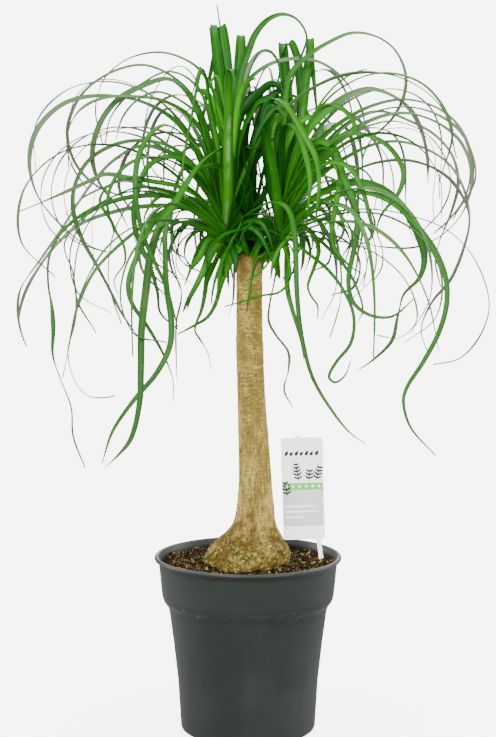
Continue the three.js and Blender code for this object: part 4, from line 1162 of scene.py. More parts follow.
# Dark leaves of the back head, whose dark green is painted shade in the hearts
BACK_DARK = [
    [11, 60, [-10, 30, 60, 20], [-4, 604, -8, 643, -5, 670, 2, 692, 15, 708, 28, 713, 39, 704, 44, 686]],
    [9, 76, [-20, 20, 60], [-1, 610, -9, 643, -11, 675, -7, 697, 2, 714, 11, 717, 18, 708]],
    [7, -6, [20, 60, 40], [-2, 592, 3, 609, 15, 612, 27, 610, 37, 601, 42, 582]],
    [8, -4, [30, 60, 40], [5, 570, 15, 568, 23, 561, 27, 551, 25, 540, 21, 530]],
    [7, 2, [30, 60, 30], [1, 557, 11, 556, 19, 550, 22, 541, 21, 530]],
    [8, 8, [30, 50, 20], [11, 570, 21, 578, 29, 580, 35, 575, 39, 560]],
    [8, 6, [-30, -60, -20], [2, 568, -4, 576, -11, 572, -15, 559, -18, 544]],
    [9, 104, [-20, -50, -60], [0, 599, -20, 632, -40, 654, -58, 659, -75, 648, -84, 626]],
    [3, -46, [0, 60, 120], [4, 593, 1, 621, -4, 645, -3, 657, 7, 655, 23, 662, 35, 672, 38, 677]],
    [10, 70, [-10, -40, -20], [-2, 599, -11, 626, -24, 654, -37, 673, -50, 682, -61, 675]],
    [13, 20, [0, 30, 60, 30], [-4, 593, -13, 632, -16, 665, -11, 689, 0, 704, 13, 717, 26, 726, 34, 723, 38,
        714]],
    [14, 46, [0, 10, 0], [-4, 600, -6, 640, -3, 672, 3, 696, 12, 708, 20, 700]],
]

# Dark leaves that lean from each head towards the other, of which the low ones arch over the stubs: their
# dark green is mostly painted shade in the hearts
LEFT_DARK = [
    [9, -36, [60, 80, 60], [-12, 566, 0, 570, 12, 562, 20, 548, 24, 538]],
    [8, -40, [40, 70, 40], [-10, 570, 2, 576, 14, 574, 22, 562, 27, 546]],
    [13, -30, [-10, 10, 20], [-20, 552, -17, 543, -14, 532, -14, 518]],
    [14, -72, [40, 70, 80], [-6, 600, 1, 640, 9, 668, 20, 688, 32, 700, 40, 690]],
    [11, 34, [20, 50, 60, 20], [-11, 590, -2, 622, 9, 650, 18, 668, 27, 680, 39, 693, 44, 705, 42, 717, 37,
        727]],
    [10, 44, [0, 30, 70], [-12, 590, -4, 625, 6, 655, 18, 684, 31, 686, 39, 675]],
    [12, 26, [10, 30, 60], [-13, 590, -2, 628, 10, 662, 19, 695, 27, 714, 36, 717, 42, 706]],
    [13, 30, [20, 60, 80, 70], [-14, 590, -4, 628, 8, 660, 18, 690, 29, 705, 40, 700, 48, 680]],
    [15, 52, [0, 30, 60], [-8, 595, 0, 632, 10, 662, 22, 690, 35, 700, 46, 690]],
    [14, 40, [0, 10, 0], [-9, 600, 1, 640, 10, 675, 18, 702, 24, 712, 30, 704]],
]
RIGHT_DARK = [
    [7, -42, [40, 70, 40], [22, 574, 10, 577, 0, 570, -8, 558, -12, 543]],
    [12, -30, [20, 30, 30], [28, 551, 22, 541, 17, 530, 15, 518]],
    [14, -62, [-10, -20, 10], [32, 600, 27, 635, 20, 664, 19, 688, 26, 700, 34, 694], 0, [0.5, 0.35, 0.05,
        0]],
    [5, -10, [0, 10, 0], [26, 576, 20, 600, 13, 630, 9, 660, 10, 680]],
    [10, 84, [10, 40, 60], [33, 600, 31, 643, 34, 675, 42, 695, 57, 699, 70, 686, 75, 665], 0, 0.7],
    [10, 54, [20, 60, 30], [36, 600, 33, 637, 38, 663, 48, 676, 59, 670, 66, 648, 67, 621], 0, 0.8],
    [9, 104, [20, 50, 60], [40, 585, 38, 615, 46, 638, 60, 645, 74, 632, 81, 610], 0, 0.7],
    [12, 50, [0, 10, 30], [37, 590, 28, 632, 25, 665, 28, 689, 33, 704, 38, 710, 44, 702], 0, [0.8, 0.5,
        0.1]],
    [13, 44, [20, 60, 70], [39, 590, 34, 625, 29, 655, 33, 678, 46, 676, 55, 655], 0, [0.9, 0.6, 0.3]],
    [14, 56, [0, 0, 0], [35, 600, 27, 640, 22, 668, 22, 690, 25, 700], 0, [0.7, 0.45, 0.1]],
]


def share(number, kind):
    """Even draw between 0 and 1 that needs no seed."""
    return ((number + 1) * SHARES[kind]) % 1


def ranged(pair, number, kind):
    """Draw between the least of a pair and what the most adds to it."""
    return pair[0] + pair[1] * share(number, kind)


def spread(size, number, kind):
    """Draw of up to half a size to either side."""
    return size * (share(number, kind) - 0.5)


def at_depth(x, z, y):
    """A point drawn on the front plane, carried along the line of sight to its depth."""
    scale = 1 + y / EYE_DISTANCE
    return (x * scale, y, EYE_HEIGHT + (z - EYE_HEIGHT) * scale)


def axis_of(head):
    lean = np.array(head["lean"], float)
    return lean / np.linalg.norm(lean)


def root_of(head, steep):
    """Root of a leaf on its head's axis: the steeper the leaf starts, the higher it sits."""
    height = ROOT_HEIGHT[0] + ROOT_HEIGHT[1] * max(0, min(1, steep))
    return np.array(head["base"], float) + axis_of(head) * height


def age_of(head, points):
    """From 0 for a leaf that stands in the heart to OLDEST for one that reaches far out or hangs."""
    away = points - np.array(head["base"], float)
    reach = np.max(np.maximum(np.hypot(away[:, 0], away[:, 1]), -away[:, 2]))
    # Leaves that come towards the front are fresher
    fresher = min(1, max(FRESH_LEAST, 1 + np.min(points[:, 1]) / FRESH_OVER))
    return OLDEST * min(1, max(0, (reach - AGED_FROM) / AGED_OVER)) * fresher


def leaf_of(head, width, turns, points, **more):
    leaf = {"head": head, "width": width, "turns": turns, "points": points, "aged": age_of(head, points)}
    leaf.update(more)
    return leaf


def drawn_leaf(head, row, shift):
    width, depth, turns, path = row[:4]
    count = len(path) // 2
    tip = depth + shift * DEPTH_SHIFT
    points = [root_of(head, (path[1] - head["base"][2]) / ROOT_SPAN)]
    for i in range(count):
        s = (i + 1) / count
        points.append(at_depth(path[2 * i], path[2 * i + 1], tip * (1 - (1 - s) ** 2)))
    leaf = leaf_of(head, width, turns, np.array(points, float))
    tall = path[-1] > UPRIGHT_END
    upright = tall and not leaf["aged"]
    if tall and max(path[::2]) - min(path[::2]) < HEART_REACH:
        leaf["aged"] = 0
    leaf["taper"] = YOUNG_TAPER if upright else OLD_TAPER
    if not leaf["aged"] and not upright:
        leaf["shade"] = ranged(SHORT_SHADE, int(abs(path[0])), 0)
    leaf.update(zip(("bloom", "shade"), row[4:]))
    return leaf


def swept_path(head, rank, heading, length, droop, sway, curl, count):
    """Path that leaves the head's axis, arches over and bends down, a step at a time."""
    launch = LAUNCH[0] + LAUNCH[1] * rank
    points = [root_of(head, 1 - rank)]
    for i in range(count):
        s = (i + 0.5) / count
        rise = math.radians(launch - droop * s**DROOP_POWER)
        way = math.radians(heading + sway * s + curl * s**3)
        step = np.array([math.cos(rise) * math.cos(way), math.cos(rise) * math.sin(way), math.sin(rise)])
        points.append(points[-1] + step * length / count)
    return np.array(points)


def heading_of(head, number, shift):
    return head["start"] + number * GOLDEN_ANGLE + shift * HEADING_SHIFT


def grown_leaf(head, number, shift):
    """Leaf of the spiral that a head grows in: the later its number, the older and flatter it is."""
    length = ranged(LEAF_LENGTH, number, 0) * (1 - SHORTER * abs(shift))
    points = swept_path(
        head, (number + 0.5) / head["grown"], heading_of(head, number, shift), length,
        ranged(DROOP, number, 1), spread(SWAY, number, 2), 0, GROWN_POINTS,
    )
    turn = spread(GROWN_TURN, number, 1)
    return leaf_of(head, ranged(LEAF_WIDTH, number, 2), [0, 0.3 * turn, turn], points)


def sheath_leaf(head, number, shift):
    """Old leaf whose foot wraps the stub under the head and whose blade arches to a side and hangs."""
    stub = np.array(head["base"], float) - np.array(STUB_START)
    axis = stub / np.linalg.norm(stub)
    from_front = (heading_of(head, number, shift) + 270) % 360 - 180
    aside = math.copysign(SHEATH_FRONT + abs(from_front) * (1 - SHEATH_FRONT / 180), from_front)
    heading = math.radians(aside - 90)
    level = np.array([math.cos(heading), math.sin(heading), 0])
    out = level - axis * np.dot(level, axis)
    rank = number / SHEATHS
    points = swept_path(
        head, 1 - 0.6 * rank, aside - 90, ranged(SHEATH_LENGTH, number, 0), ranged(DROOP, number, 1),
        spread(SWAY, number, 2), 0, SHEATH_POINTS,
    )
    foot = np.array(STUB_START) + stub * (SHEATH_FOOT[0] + SHEATH_FOOT[1] * rank)
    points[0] = foot + out / np.linalg.norm(out) * (STUB_RADIUS - SHEATH_SUNK)
    turns = [0, 0, spread(60, number, 1), spread(GROWN_TURN, number, 2)]
    return leaf_of(
        head, ranged(SHEATH_WIDTH, number, 2), turns, points, aged=0.4 * share(number, 1),
        # Sheaths low on the stub are painted darker, as painted shade under the head
        shade=0.1 + 0.6 * share(number, 0) * min(1, 2.5 * rank),
    )


def front_leaf(head, number, shift):
    """Low leaf that reaches towards the front beside the stem: those further aside start steeper."""
    side = math.copysign(1, head["base"][0])
    aside = FRONT_ASIDE[0] + FRONT_ASIDE[1] * number + shift * HEADING_SHIFT
    points = swept_path(
        head, FRONT_RANK[0] + FRONT_RANK[1] * number, side * aside - 90, ranged(FRONT_LENGTH, number, 0),
        FRONT_DROOP[0] + FRONT_DROOP[1] * number, side * SWAY * (share(number, 2) - 0.7), 0, GROWN_POINTS,
    )
    return leaf_of(head, ranged(LEAF_WIDTH, number, 2), [0, 20, -50 * side], points)


def thin_leaf(head, number, shift):
    """Thread-like leaf whose end curls round."""
    heading = heading_of(head, number, shift) + THIN_START
    points = swept_path(
        head, ranged(THIN_RANK, number, 1), heading, ranged(THIN_LENGTH, number, 2),
        ranged(DROOP, number, 0), spread(THIN_SWAY, number, 1), spread(THIN_CURL, number, 0),
        2 * GROWN_POINTS,
    )
    turns = [0, 60, -40, 120 * share(number, 2)]
    return leaf_of(head, ranged(THIN_WIDTH, number, 0), turns, points, aged=1)


def curve_points(points, places):
    """Points on the smooth curve through the path, at places from 0 to 1."""
    count = len(points)
    padded = np.vstack([2 * points[0] - points[1], points, 2 * points[-1] - points[-2]])
    at = np.clip(np.asarray(places, float), 0, 1) * (count - 1)
    row = np.minimum(at.astype(int), count - 2)
    weight = (at - row)[:, None]
    p0, p1, p2, p3 = (padded[row + k] for k in range(4))
    gaps = [np.sum((b - a) ** 2, 1)[:, None] ** 0.25 for a, b in ((p0, p1), (p1, p2), (p2, p3))]
    d1 = np.where(gaps[1] < 1e-4, 1.0, gaps[1])
    d0 = np.where(gaps[0] < 1e-4, d1, gaps[0])
    d2 = np.where(gaps[2] < 1e-4, d1, gaps[2])
    t1 = ((p1 - p0) / d0 - (p2 - p0) / (d0 + d1) + (p2 - p1) / d1) * d1
    t2 = ((p2 - p1) / d1 - (p3 - p1) / (d1 + d2) + (p3 - p2) / d2) * d1
    c2 = -3 * p1 + 3 * p2 - 2 * t1 - t2
    c3 = 2 * p1 - 2 * p2 + t1 + t2
    return p1 + t1 * weight + c2 * weight**2 + c3 * weight**3


def width_at(leaf, s, least, taper=TAPER):
    """Width along a leaf, which widens over its first tenth and then narrows to its tip."""
    shape = np.minimum(1, 0.75 + 2.5 * s) * (1 - s) ** taper
    return np.maximum(least, leaf["width"] * shape)


def room_of(leaf):
    """Places along a leaf and how far from them its blade reaches."""
    places = np.arange(CLEAR_SAMPLES + 1) / CLEAR_SAMPLES
    return {
        "head": leaf["head"], "points": curve_points(leaf["points"], places),
        "reach": width_at(leaf, places, CAD_TIP_WIDTH) / 2 + CLEAR_SKIN,
    }


def straight_room(start, way, length, reach, head=None):
    done = np.arange(0, length + 1e-9, CLEAR_STEP)
    points = np.array(start, float) + done[:, None] * np.array(way, float)
    return {"head": head, "points": points, "reach": np.full(len(done), float(reach))}


def is_clear(room, head, placed):
    for other in placed:
        if other["head"] is head:
            continue
        apart = np.linalg.norm(room["points"][:, None] - other["points"][None], axis=2)
        needed = np.maximum(CLEAR_LEAST, room["reach"][:, None] + other["reach"][None])
        if not np.all(apart > needed):
            return False
    return True


def is_in_place(room):
    """A leaf grown by rule stays within the crown's width and doesn't hang in front of the stem."""
    x, y, z = room["points"].T
    hides = (y < STEM_FRONT) & (np.abs(x - STEM_X) < STEM_HALF) & (z < STEM_TOP)
    return np.all(np.abs(x) < CROWN_REACH) and not np.any(hides)


def is_in_crown(room, reach):
    """It stays inside the round crown too."""
    x, y, z = room["points"].T
    over = np.clip((z - CROWN_WAIST) / CROWN_RISE, 0, 1)
    beyond = np.hypot(x, CROWN_DEPTH * y) > reach * np.cbrt(1 - over**3)
    return is_in_place(room) and not np.any(beyond)


def hides_heart(room, middle, half, foot):
    """Whether a leaf passes in front of the heads' hearts, above a foot and near a middle."""
    x, y, z = room["points"].T
    return np.any((y < HEART_FRONT) & (np.abs(x - middle) < half) & (z > foot))


def is_beside(room):
    """A grown leaf passes beside the heads' hearts as seen from the front."""
    return is_in_crown(room, CROWN_REACH) and not hides_heart(room, HEART_X, HEART_HALF, HEART_FOOT)


def is_behind(room):
    """A thin leaf passes behind the heads' hearts or well beside them."""
    return is_in_crown(room, THIN_REACH) and not hides_heart(room, 0, HEART_REACH, 0)


def is_low(room):
    """A leaf that reaches forward passes under the heads' hearts."""
    x, y = room["points"].T[:2]
    beyond = (np.abs(x) > FRONT_REACH[0]) | (y < -FRONT_REACH[1])
    return is_in_place(room) and not hides_heart(room, HEART_X, LOW_HALF, LOW_TOP) and not np.any(beyond)


def place_leaf(head, form, placed, fits=lambda room: True):
    """The first form of a leaf that keeps clear of the stem and of the other heads."""
    for attempt in range(2 * CLEAR_TRIES):
        shift = math.ceil(attempt / 2) * (1 if attempt % 2 else -1)
        leaf = form(shift)
        room = room_of(leaf)
        if fits(room) and is_clear(room, head, placed):
            placed.append(room)
            return leaf
    return None


def place_leaves(extra):
    """All leaves in order: most are placed where they keep clear of those placed before them, and the inner
    and dark leaves are added as drawn.
    """
    placed = [straight_room(**STEM_ROOM)]
    for head in HEADS:
        placed.append(straight_room(head["base"], axis_of(head), 2 * CORE_HALF, CORE_RADIUS, head))
    leaves = []

    def grow(form, heads, count, fits, by_stem=False):
        # Leaves by the stem may touch it, and the others needn't keep clear of them
        for head in heads:
            for number in range(head["grown"] if count is None else count):
                near = placed[1:] if by_stem else placed
                leaves.append(place_leaf(head, lambda shift: form(head, number, shift), near, fits))

    for head, rows in zip(HEADS, (LEFT_LEAVES, RIGHT_LEAVES)):
        for row in rows:
            leaves.append(place_leaf(head, lambda shift: drawn_leaf(head, row, shift), placed))
    grow(grown_leaf, HEADS, None, is_beside)
    for head, rows in zip(HEADS, (LEFT_INNER, RIGHT_INNER)):
        leaves.extend(drawn_leaf(head, row, 0) for row in rows)
    for head, rows in zip(HEADS, (LEFT_DARK, RIGHT_DARK, BACK_DARK)):
        for number, row in enumerate(rows):
            leaf = drawn_leaf(head, row, 0)
            # Rows without their own shade get a dark one, as painted shade, and tall ones a painted deep
            # shade below 0
            if len(row) < 6:
                tall = max(row[3][1::2]) > TALL_DARK_Z
                leaf["shade"] = ranged(DARK_SHADE, number, 1) - tall * TALL_DARKER
            leaves.append(leaf)
    grow(sheath_leaf, HEADS, SHEATHS, is_beside, by_stem=True)
    grow(thin_leaf, HEADS, extra, is_behind)
    grow(front_leaf, HEADS[:2], FRONT_LEAVES, is_low)
    return [leaf for leaf in leaves if leaf is not None]


def turns_at(leaf, places, number):
    """Turn of the blade along a leaf: as drawn near the root, and an old leaf twists towards its tip."""
    turns = leaf["turns"]
    drawn = np.interp(places * (len(turns) - 1), np.arange(len(turns)), turns)
    later = np.clip((places - TWIST_FROM) / (1 - TWIST_FROM), 0, 1)
    twist = spread(TWIST[0], number, 2) * later**2
    twist += TWIST[1] * later * np.sin(2 * math.pi * (TWIST_WAVES * places + share(number, 0)))
    return np.radians(drawn + twist * min(1, 0.1 + 3 * leaf["aged"]))


def leaf_path(leaf, step, number):
    """Points in metres along a leaf, with the direction across the blade at each."""
    rough = curve_points(leaf["points"], np.linspace(0, 1, LENGTH_SAMPLES))
    length = np.sum(np.linalg.norm(np.diff(rough, axis=0), axis=1))
    count = max(FEWEST_STEPS, int(length * MM / step))
    places = np.linspace(0, 1, count + 1)
    points, ahead, behind = (curve_points(leaf["points"], places + by) for by in (0, NUDGE, -NUDGE))
    tangents = (ahead - behind) / np.linalg.norm(ahead - behind, axis=1)[:, None]
    reach = curve_points(leaf["points"], [0.5])[0] - leaf["points"][0]
    side = np.array([-reach[1], reach[0], 0])
    side /= np.linalg.norm(side)
    across = []
    for tangent, turn in zip(tangents, turns_at(leaf, places, number)):
        side = side - tangent * np.dot(side, tangent)
        side /= np.linalg.norm(side)
        up = np.cross(tangent, side)
        across.append(side * math.cos(turn) + up * math.sin(turn))
    return places, points * MM, np.array(across)


def blade_tree():
    """Tree that sweeps a channelled section along each leaf's path, as wide as the leaf is there."""
    sockets = {
        "Points round": "Int", "Thickness": "Float", "Channel": "Float", "Margin": "Float",
        "Material": "Material",
    }
    tree, (paths, around, thickness, channel, margin, material) = geometry_tree("leaf_blades", sockets)
    section = add_node(tree, "GeometryNodeCurvePrimitiveCircle", {"Resolution": around, "Radius": 1.0})
    where = add_node(tree, "GeometryNodeInputPosition")
    out, over = (add_node(tree, "ShaderNodeSeparateXYZ", {0: where}, axis) for axis in (0, 1))
    # The margins of the section stand higher than its middle, by a power of the way out
    dip = add_node(tree, "ShaderNodeMath", {0: out}, operation="ABSOLUTE")
    for operation, value in (("POWER", 1.25), ("SUBTRACT", 0.8), ("MULTIPLY", channel)):
        dip = add_node(tree, "ShaderNodeMath", {0: dip, 1: value}, operation=operation)
    half, aside = (
        add_node(tree, "ShaderNodeMath", {0: value, 1: 0.5}, operation="MULTIPLY") for value in (over, out)
    )
    level = add_node(tree, "ShaderNodeMath", {0: half, 1: thickness, 2: dip}, operation="MULTIPLY_ADD")
    shaped = add_node(tree, "ShaderNodeCombineXYZ", {0: aside, 1: level})
    for name, value in (("across", out), ("upper", over)):
        section = add_node(
            tree, "GeometryNodeStoreNamedAttribute", {"Geometry": section, "Name": name, "Value": value},
            data_type="FLOAT", domain="POINT",
        )
    section = add_node(tree, "GeometryNodeSetPosition", {"Geometry": section, "Position": shaped})
    lines = add_node(tree, "GeometryNodeMeshToCurve", {"Mesh": paths})
    side = add_node(tree, "GeometryNodeInputNamedAttribute", {"Name": "side"}, data_type="FLOAT_VECTOR")
    turned = add_node(tree, "GeometryNodeSetCurveNormal", {"Curve": lines, "Normal": side}, mode="FREE")
    width = add_node(tree, "GeometryNodeInputNamedAttribute", {"Name": "width"}, data_type="FLOAT")
    sweep = {"Curve": turned, "Profile Curve": section, "Scale": width, "Fill Caps": True}
    swept = add_node(tree, "GeometryNodeCurveToMesh", sweep)
    # The margin thickens the blade all round, so that thread-like ends are round and not flat
    normal = add_node(tree, "GeometryNodeInputNormal")
    padding = add_node(tree, "ShaderNodeVectorMath", {0: normal, 3: margin}, operation="SCALE")
    padded = add_node(tree, "GeometryNodeSetPosition", {"Geometry": swept, "Offset": padding})
    smooth = add_node(tree, "GeometryNodeSetShadeSmooth", {"Geometry": padded, "Shade Smooth": True})
    return end_tree(tree, smooth, material)


def leaf_skin(settings):
    """Waxy strap leaf: satin green, paler down its channel, greyer towards its margins and its dried tip,
    with a painted highlight down the channel and painted shade on one half, at the margins and near the root.
    """
    material, tree, shader, coords = new_material("waxy_leaf")
    values = {}
    for name in ("along", "across", "shade", "upper", "aged", "bloom"):
        values[name] = add_node(tree, "ShaderNodeAttribute", output="Fac", attribute_name=name)
    drawn = speckles(tree, coords, (("drift", 18, 3, 0.6), ("patches", 30, 2, 0.55)))
    # Veins run along the blade, about one in a millimetre, drawn a little coarser so that they show
    veins = {}
    for axis, name, times in ((0, "across", 5.5), (1, "along", 2.5), (2, "shade", 40)):
        veins[axis] = add_node(tree, "ShaderNodeMath", {0: values[name], 1: times}, operation="MULTIPLY")
    veins = add_node(tree, "ShaderNodeCombineXYZ", veins)
    veins = add_node(tree, "ShaderNodeTexNoise", {"Vector": veins, "Scale": 1.0, "Detail": 3.0})
    off = add_node(tree, "ShaderNodeMath", {0: values["across"]}, operation="ABSOLUTE")
    along = values["along"]
    on_top = add_node(tree, "ShaderNodeMapRange", {0: values["upper"], 1: -0.1, 2: 0.2, 3: 0.3, 4: 1})
    later = add_node(tree, "ShaderNodeMapRange", {0: along, 1: 0.25, 2: 0.5})
    tone = add_node(tree, "ShaderNodeMix", {0: values["shade"], 6: settings.deep, 7: settings.bright}, 2,
                    data_type="RGBA")
    broken = add_node(tree, "ShaderNodeMapRange", {0: drawn["patches"], 1: 0.44, 2: 0.52})
    # Painted highlight down the channel, broken into patches
    bloom = add_node(tree, "ShaderNodeMath", {0: values["bloom"], 1: broken}, operation="MULTIPLY")
    tone = layered(tree, tone, (
        (drawn["drift"], 0.35, 0.7, 0, 0.4, settings.deep, None),
        # Painted deep shade, for leaves whose shade is below 0
        (values["shade"], 0, -0.5, 0, 0.85, darker(settings.deep, 0.25), None),
        (veins, 0.45, 0.75, 0, 0.18, settings.midline, None),
        # Paler line down the top of the channel: partly the leaf's paler midrib and partly a painted
        # highlight
        (off, 0.4, 0.05, 0, 0.2, settings.midline, on_top),
        # Painted shade: one half of the blade and its margins are painted darker, as if the folded blade were
        # shaded
        (values["across"], 0.05, 0.45, 0, 0.4, settings.deep, None),
        (off, 0.6, 1, 0, 0.4, settings.deep, None),
        # Painted shade: leaves are darker towards the root, deep in the heart
        (along, 0.3, 0.04, 0, 0.15, settings.deep, None),
        (along, 0.05, 0, 0, 0.25, settings.root, None),
        (drawn["patches"], 0.55, 0.68, 0, 0.5, settings.olive, later),
        (along, 0.2, 0.5, 0, 1, settings.dull, values["aged"]),
        (off, 0.75, 1, 0, 0.9, settings.dry, values["aged"]),
        (along, 0.8, 1, 0, 1, settings.dry, values["aged"]),
        (along, 0.5, 0.95, 0, 0.9, settings.dry, values["aged"]),
        # Painted highlight: a pale streak down the channel of some young leaves
        (off, 0.55, 0.15, 0, 0.9, settings.bloom, bloom),
    ))
    gloss = add_node(tree, "ShaderNodeMapRange", {0: veins, 1: 0.3, 2: 0.7, 3: 0.3, 4: 0.42})
    bump = add_node(tree, "ShaderNodeBump", {"Height": veins, "Distance": 0.25 * MM})
    # A blade lets light through from behind, which the faint glow stands for
    set_inputs(tree, shader, {
        "Base Color": tone, "Roughness": gloss, "IOR": 1.45, "Specular IOR Level": 0.15,
        "Emission Color": tone, "Emission Strength": 0.15, "Normal": bump,
    })
    return material


def leaf_shade(leaf, number):
    """Shade from 0, dark, to 1, bright. A young leaf is brighter, and one in front is painted brighter, as
    painted light.
    """
    if "shade" in leaf:
        return leaf["shade"]
    depth = leaf["points"][len(leaf["points"]) // 2][1]
    change, most = AGED_SHADE
    if not leaf["aged"]:
        depth = min(depth, YOUNG_DEPTH)
        change, most = YOUNG_SHADE
    base = leaf["head"]["shade"] - depth / SHADE_DEPTH + change
    return min(most, max(0, base + spread(SHADE_SPREAD, number, 1)))


def make_heads(settings):
    leaves = place_leaves(settings.extra)
    tree = blade_tree()
    sizes = {
        "Points round": settings.around, "Thickness": settings.thickness, "Channel": settings.channel,
        "Margin": settings.margin, "Material": leaf_skin(settings),
    }
    for head in HEADS:
        points, edges = [], []
        values = {name: [] for name in ("along", "width", "shade", "aged", "bloom")}
        sides = []
        own = [leaf for leaf in leaves if leaf["head"] is head]
        for number, leaf in enumerate(own):
            places, path, across = leaf_path(leaf, settings.step, number)
            first = len(points)
            points.extend(path)
            sides.extend(across)
            edges.extend((first + i, first + i + 1) for i in range(len(path) - 1))
            # The margin that the tree adds all round is taken off the width first
            widths = width_at(leaf, places, TIP_WIDTH + PADDED_WIDTH, leaf.get("taper", TAPER))
            shades = np.atleast_1d(leaf_shade(leaf, number))
            shades = np.interp(places * (len(shades) - 1), np.arange(len(shades)), shades)
            # Painted light and shade: points near the heart are painted brighter and those further out darker
            out = np.linalg.norm(path / MM - np.array(HEART), axis=1)
            outer = np.clip((out - HEART_SIZE) / HEART_SIZE, 0, 1)
            values["along"].extend(places)
            values["width"].extend((widths - PADDED_WIDTH) * MM)
            values["shade"].extend(shades * (1 - OUTER_SHADE * outer))
            values["aged"].extend(leaf["aged"] * (HEART_AGED + (1 - HEART_AGED) * outer))
            values["bloom"].extend([leaf.get("bloom", 0)] * len(path))
        mesh = bpy.data.meshes.new("leaves_" + head["name"])
        mesh.from_pydata([tuple(p) for p in points], edges, [])
        for name, numbers in values.items():
            set_attribute(mesh, name, np.clip(numbers, -1, 1))
        set_attribute(mesh, "side", sides, "FLOAT_VECTOR")
        piece = link_object("leaves_" + head["name"], mesh)
        run_tree(piece, tree, sizes)
        keep(piece, "foliage_" + head["name"])


# Stage

CAMERA_PITCH = 7.63
FILM_WIDTH = 36
# Metres: the floor, and how far a thing that stands on it darkens it with a painted shadow
FLOOR_SIDES = 96
FLOOR_REACH = 14.0
FLOOR_Z = -0.0006
CONTACT_REACH = 0.22
CONTACT_SHADE = 0.7
LIT_POINT = Vector((0, 0, 0.5))
# Lamps: place and size in metres, and the setting that holds the power
LAMPS = (
    ("key", (-1.1, -2.0, 2.0), (1.3, 1.3), "key"),
    ("fill", (1.5, -2.0, 1.2), (1.3, 1.6), "fill"),
    ("left_strip", (-1.7, 0.5, 0.8), (0.7, 1.8), "strips"),
    ("right_strip", (1.7, 0.5, 0.8), (0.7, 1.8), "strips"),
    ("top", (0.1, 0.3, 2.6), (1.4, 1.4), "top"),
    ("back", (0.3, 2.6, 1.6), (1.6, 1.6), "fill"),
)


def make_stage(settings):
    """Glowing white floor with a painted shadow only where something stands on it, white surroundings and
    soft lamps.
    """
    material = bpy.data.materials.new("lit_white_floor")
    tree = emptied_tree(material)
    near = add_node(tree, "ShaderNodeAmbientOcclusion", {"Distance": CONTACT_REACH}, "AO")
    least = CONTACT_SHADE * settings.backdrop
    strength = add_node(tree, "ShaderNodeMapRange", {0: near, 3: least, 4: settings.backdrop})
    glow = add_node(tree, "ShaderNodeEmission", {"Color": settings.floor, "Strength": strength})
    add_node(tree, "ShaderNodeOutputMaterial", {"Surface": glow})
    points = [(x, y, FLOOR_Z) for x, y in circle(FLOOR_REACH, FLOOR_SIDES)]
    mesh = mesh_of("floor", points, [tuple(range(FLOOR_SIDES))], False)
    mesh.materials.append(material)
    floor = link_object("floor", mesh)
    floor.visible_diffuse = floor.visible_glossy = False
    world = bpy.data.worlds.new("white_surroundings")
    tree = emptied_tree(world)
    seen = add_node(tree, "ShaderNodeLightPath", output="Is Camera Ray")
    strength = add_node(tree, "ShaderNodeMapRange", {0: seen, 3: settings.sky, 4: settings.backdrop})
    sky = add_node(tree, "ShaderNodeBackground", {"Color": settings.floor, "Strength": strength})
    add_node(tree, "ShaderNodeOutputWorld", {"Surface": sky})
    bpy.context.scene.world = world
    for name, place, size, power in LAMPS:
        light = bpy.data.lights.new(name, "AREA")
        light.shape = "RECTANGLE"
        light.size, light.size_y = size
        light.energy = getattr(settings, power)
        lamp = bpy.data.objects.new(name, light)
        lamp.location = place
        lamp.rotation_euler = (LIT_POINT - Vector(place)).to_track_quat("-Z", "Y").to_euler()
        lamp.visible_camera = False
        bpy.context.scene.collection.objects.link(lamp)


def make_camera(settings):
    eye = bpy.data.cameras.new("eye")
    eye.lens = settings.focal
    eye.sensor_width = FILM_WIDTH
    eye.clip_end = 60
    camera = bpy.data.objects.new("eye", eye)
    camera.location = (0, -EYE_DISTANCE * MM, EYE_HEIGHT * MM)
    camera.rotation_euler = (math.radians(90 - CAMERA_PITCH), 0, 0)
    bpy.context.scene.collection.objects.link(camera)
    bpy.context.scene.camera = camera


# Operators, panel and registration


class PALM_OT_stage(Operator):
    """Lay the pale floor, hang the soft lights and set the camera"""

    bl_idname = "palm.stage"
    bl_label = "Stage"

    def execute(self, context):
        make_camera(context.scene.palm_stage)
        make_stage(context.scene.palm_stage)
        return {"FINISHED"}


class PALM_OT_pot(Operator):
    """Turn the nursery pot and cut its drainage holes"""

    bl_idname = "palm.pot"
    bl_label = "Nursery pot"

    def execute(self, context):
        make_pot(context.scene.palm_pot)
        return {"FINISHED"}


class PALM_OT_soil(Operator):
    """Fill the pot with crumbly soil"""

    bl_idname = "palm.soil"
    bl_label = "Soil"

    def execute(self, context):
        make_soil(context.scene.palm_soil)
        return {"FINISHED"}


class PALM_OT_trunk(Operator):
    """Shape the stem, its swollen foot and its bark"""

    bl_idname = "palm.trunk"
    bl_label = "Trunk"

    def execute(self, context):
        make_trunk(context.scene.palm_trunk)
        return {"FINISHED"}


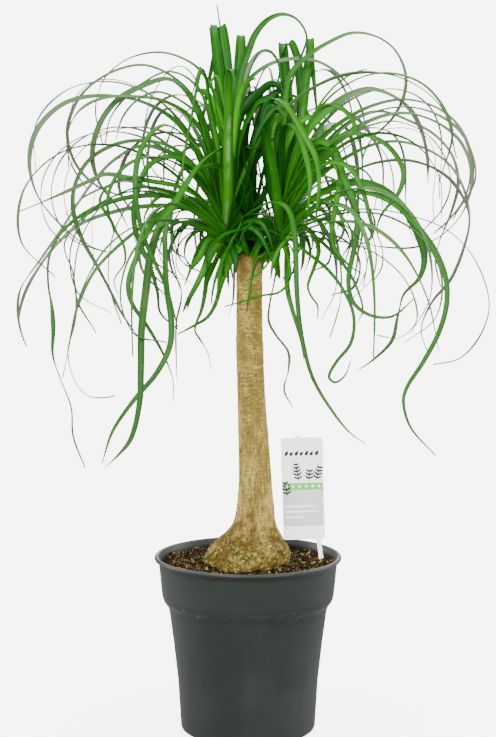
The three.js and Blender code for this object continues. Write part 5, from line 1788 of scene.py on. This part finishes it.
class PALM_OT_leaves(Operator):
    """Grow the three heads of strap leaves"""

    bl_idname = "palm.leaves"
    bl_label = "Leaf heads"

    def execute(self, context):
        make_heads(context.scene.palm_leaf)
        return {"FINISHED"}


class PALM_OT_label(Operator):
    """Cut the stick-in label and print its plain pattern"""

    bl_idname = "palm.label"
    bl_label = "Label"

    def execute(self, context):
        make_label(context.scene.palm_label)
        return {"FINISHED"}


class PALM_PT_panel(Panel):
    """Lists the pieces of the palm with their settings"""

    bl_label = "Potted palm"
    bl_space_type = "VIEW_3D"
    bl_region_type = "UI"
    bl_category = "Palm"

    def draw(self, context):
        for operator, settings in PIECES:
            box = self.layout.box()
            box.operator(operator.bl_idname)
            group = getattr(context.scene, settings)
            for name in group.__annotations__:
                box.prop(group, name)


PIECES = (
    (PALM_OT_stage, "palm_stage"),
    (PALM_OT_pot, "palm_pot"),
    (PALM_OT_soil, "palm_soil"),
    (PALM_OT_trunk, "palm_trunk"),
    (PALM_OT_label, "palm_label"),
    (PALM_OT_leaves, "palm_leaf"),
)
SETTINGS = {
    "palm_stage": PalmStageSettings,
    "palm_pot": PalmPotSettings,
    "palm_soil": PalmSoilSettings,
    "palm_trunk": PalmTrunkSettings,
    "palm_label": PalmLabelSettings,
    "palm_leaf": PalmLeafSettings,
}


def register():
    for name, group in SETTINGS.items():
        bpy.utils.register_class(group)
        setattr(bpy.types.Scene, name, PointerProperty(type=group))
    for operator, _ in PIECES:
        bpy.utils.register_class(operator)
    bpy.utils.register_class(PALM_PT_panel)


def unregister():
    bpy.utils.unregister_class(PALM_PT_panel)
    for operator, _ in reversed(PIECES):
        bpy.utils.unregister_class(operator)
    for name, group in SETTINGS.items():
        delattr(bpy.types.Scene, name)
        bpy.utils.unregister_class(group)


def main():
    register()
    bpy.ops.palm.stage()
    bpy.ops.palm.pot()
    bpy.ops.palm.soil()
    bpy.ops.palm.trunk()
    bpy.ops.palm.label()
    bpy.ops.palm.leaves()


if __name__ == "__main__":
    main()
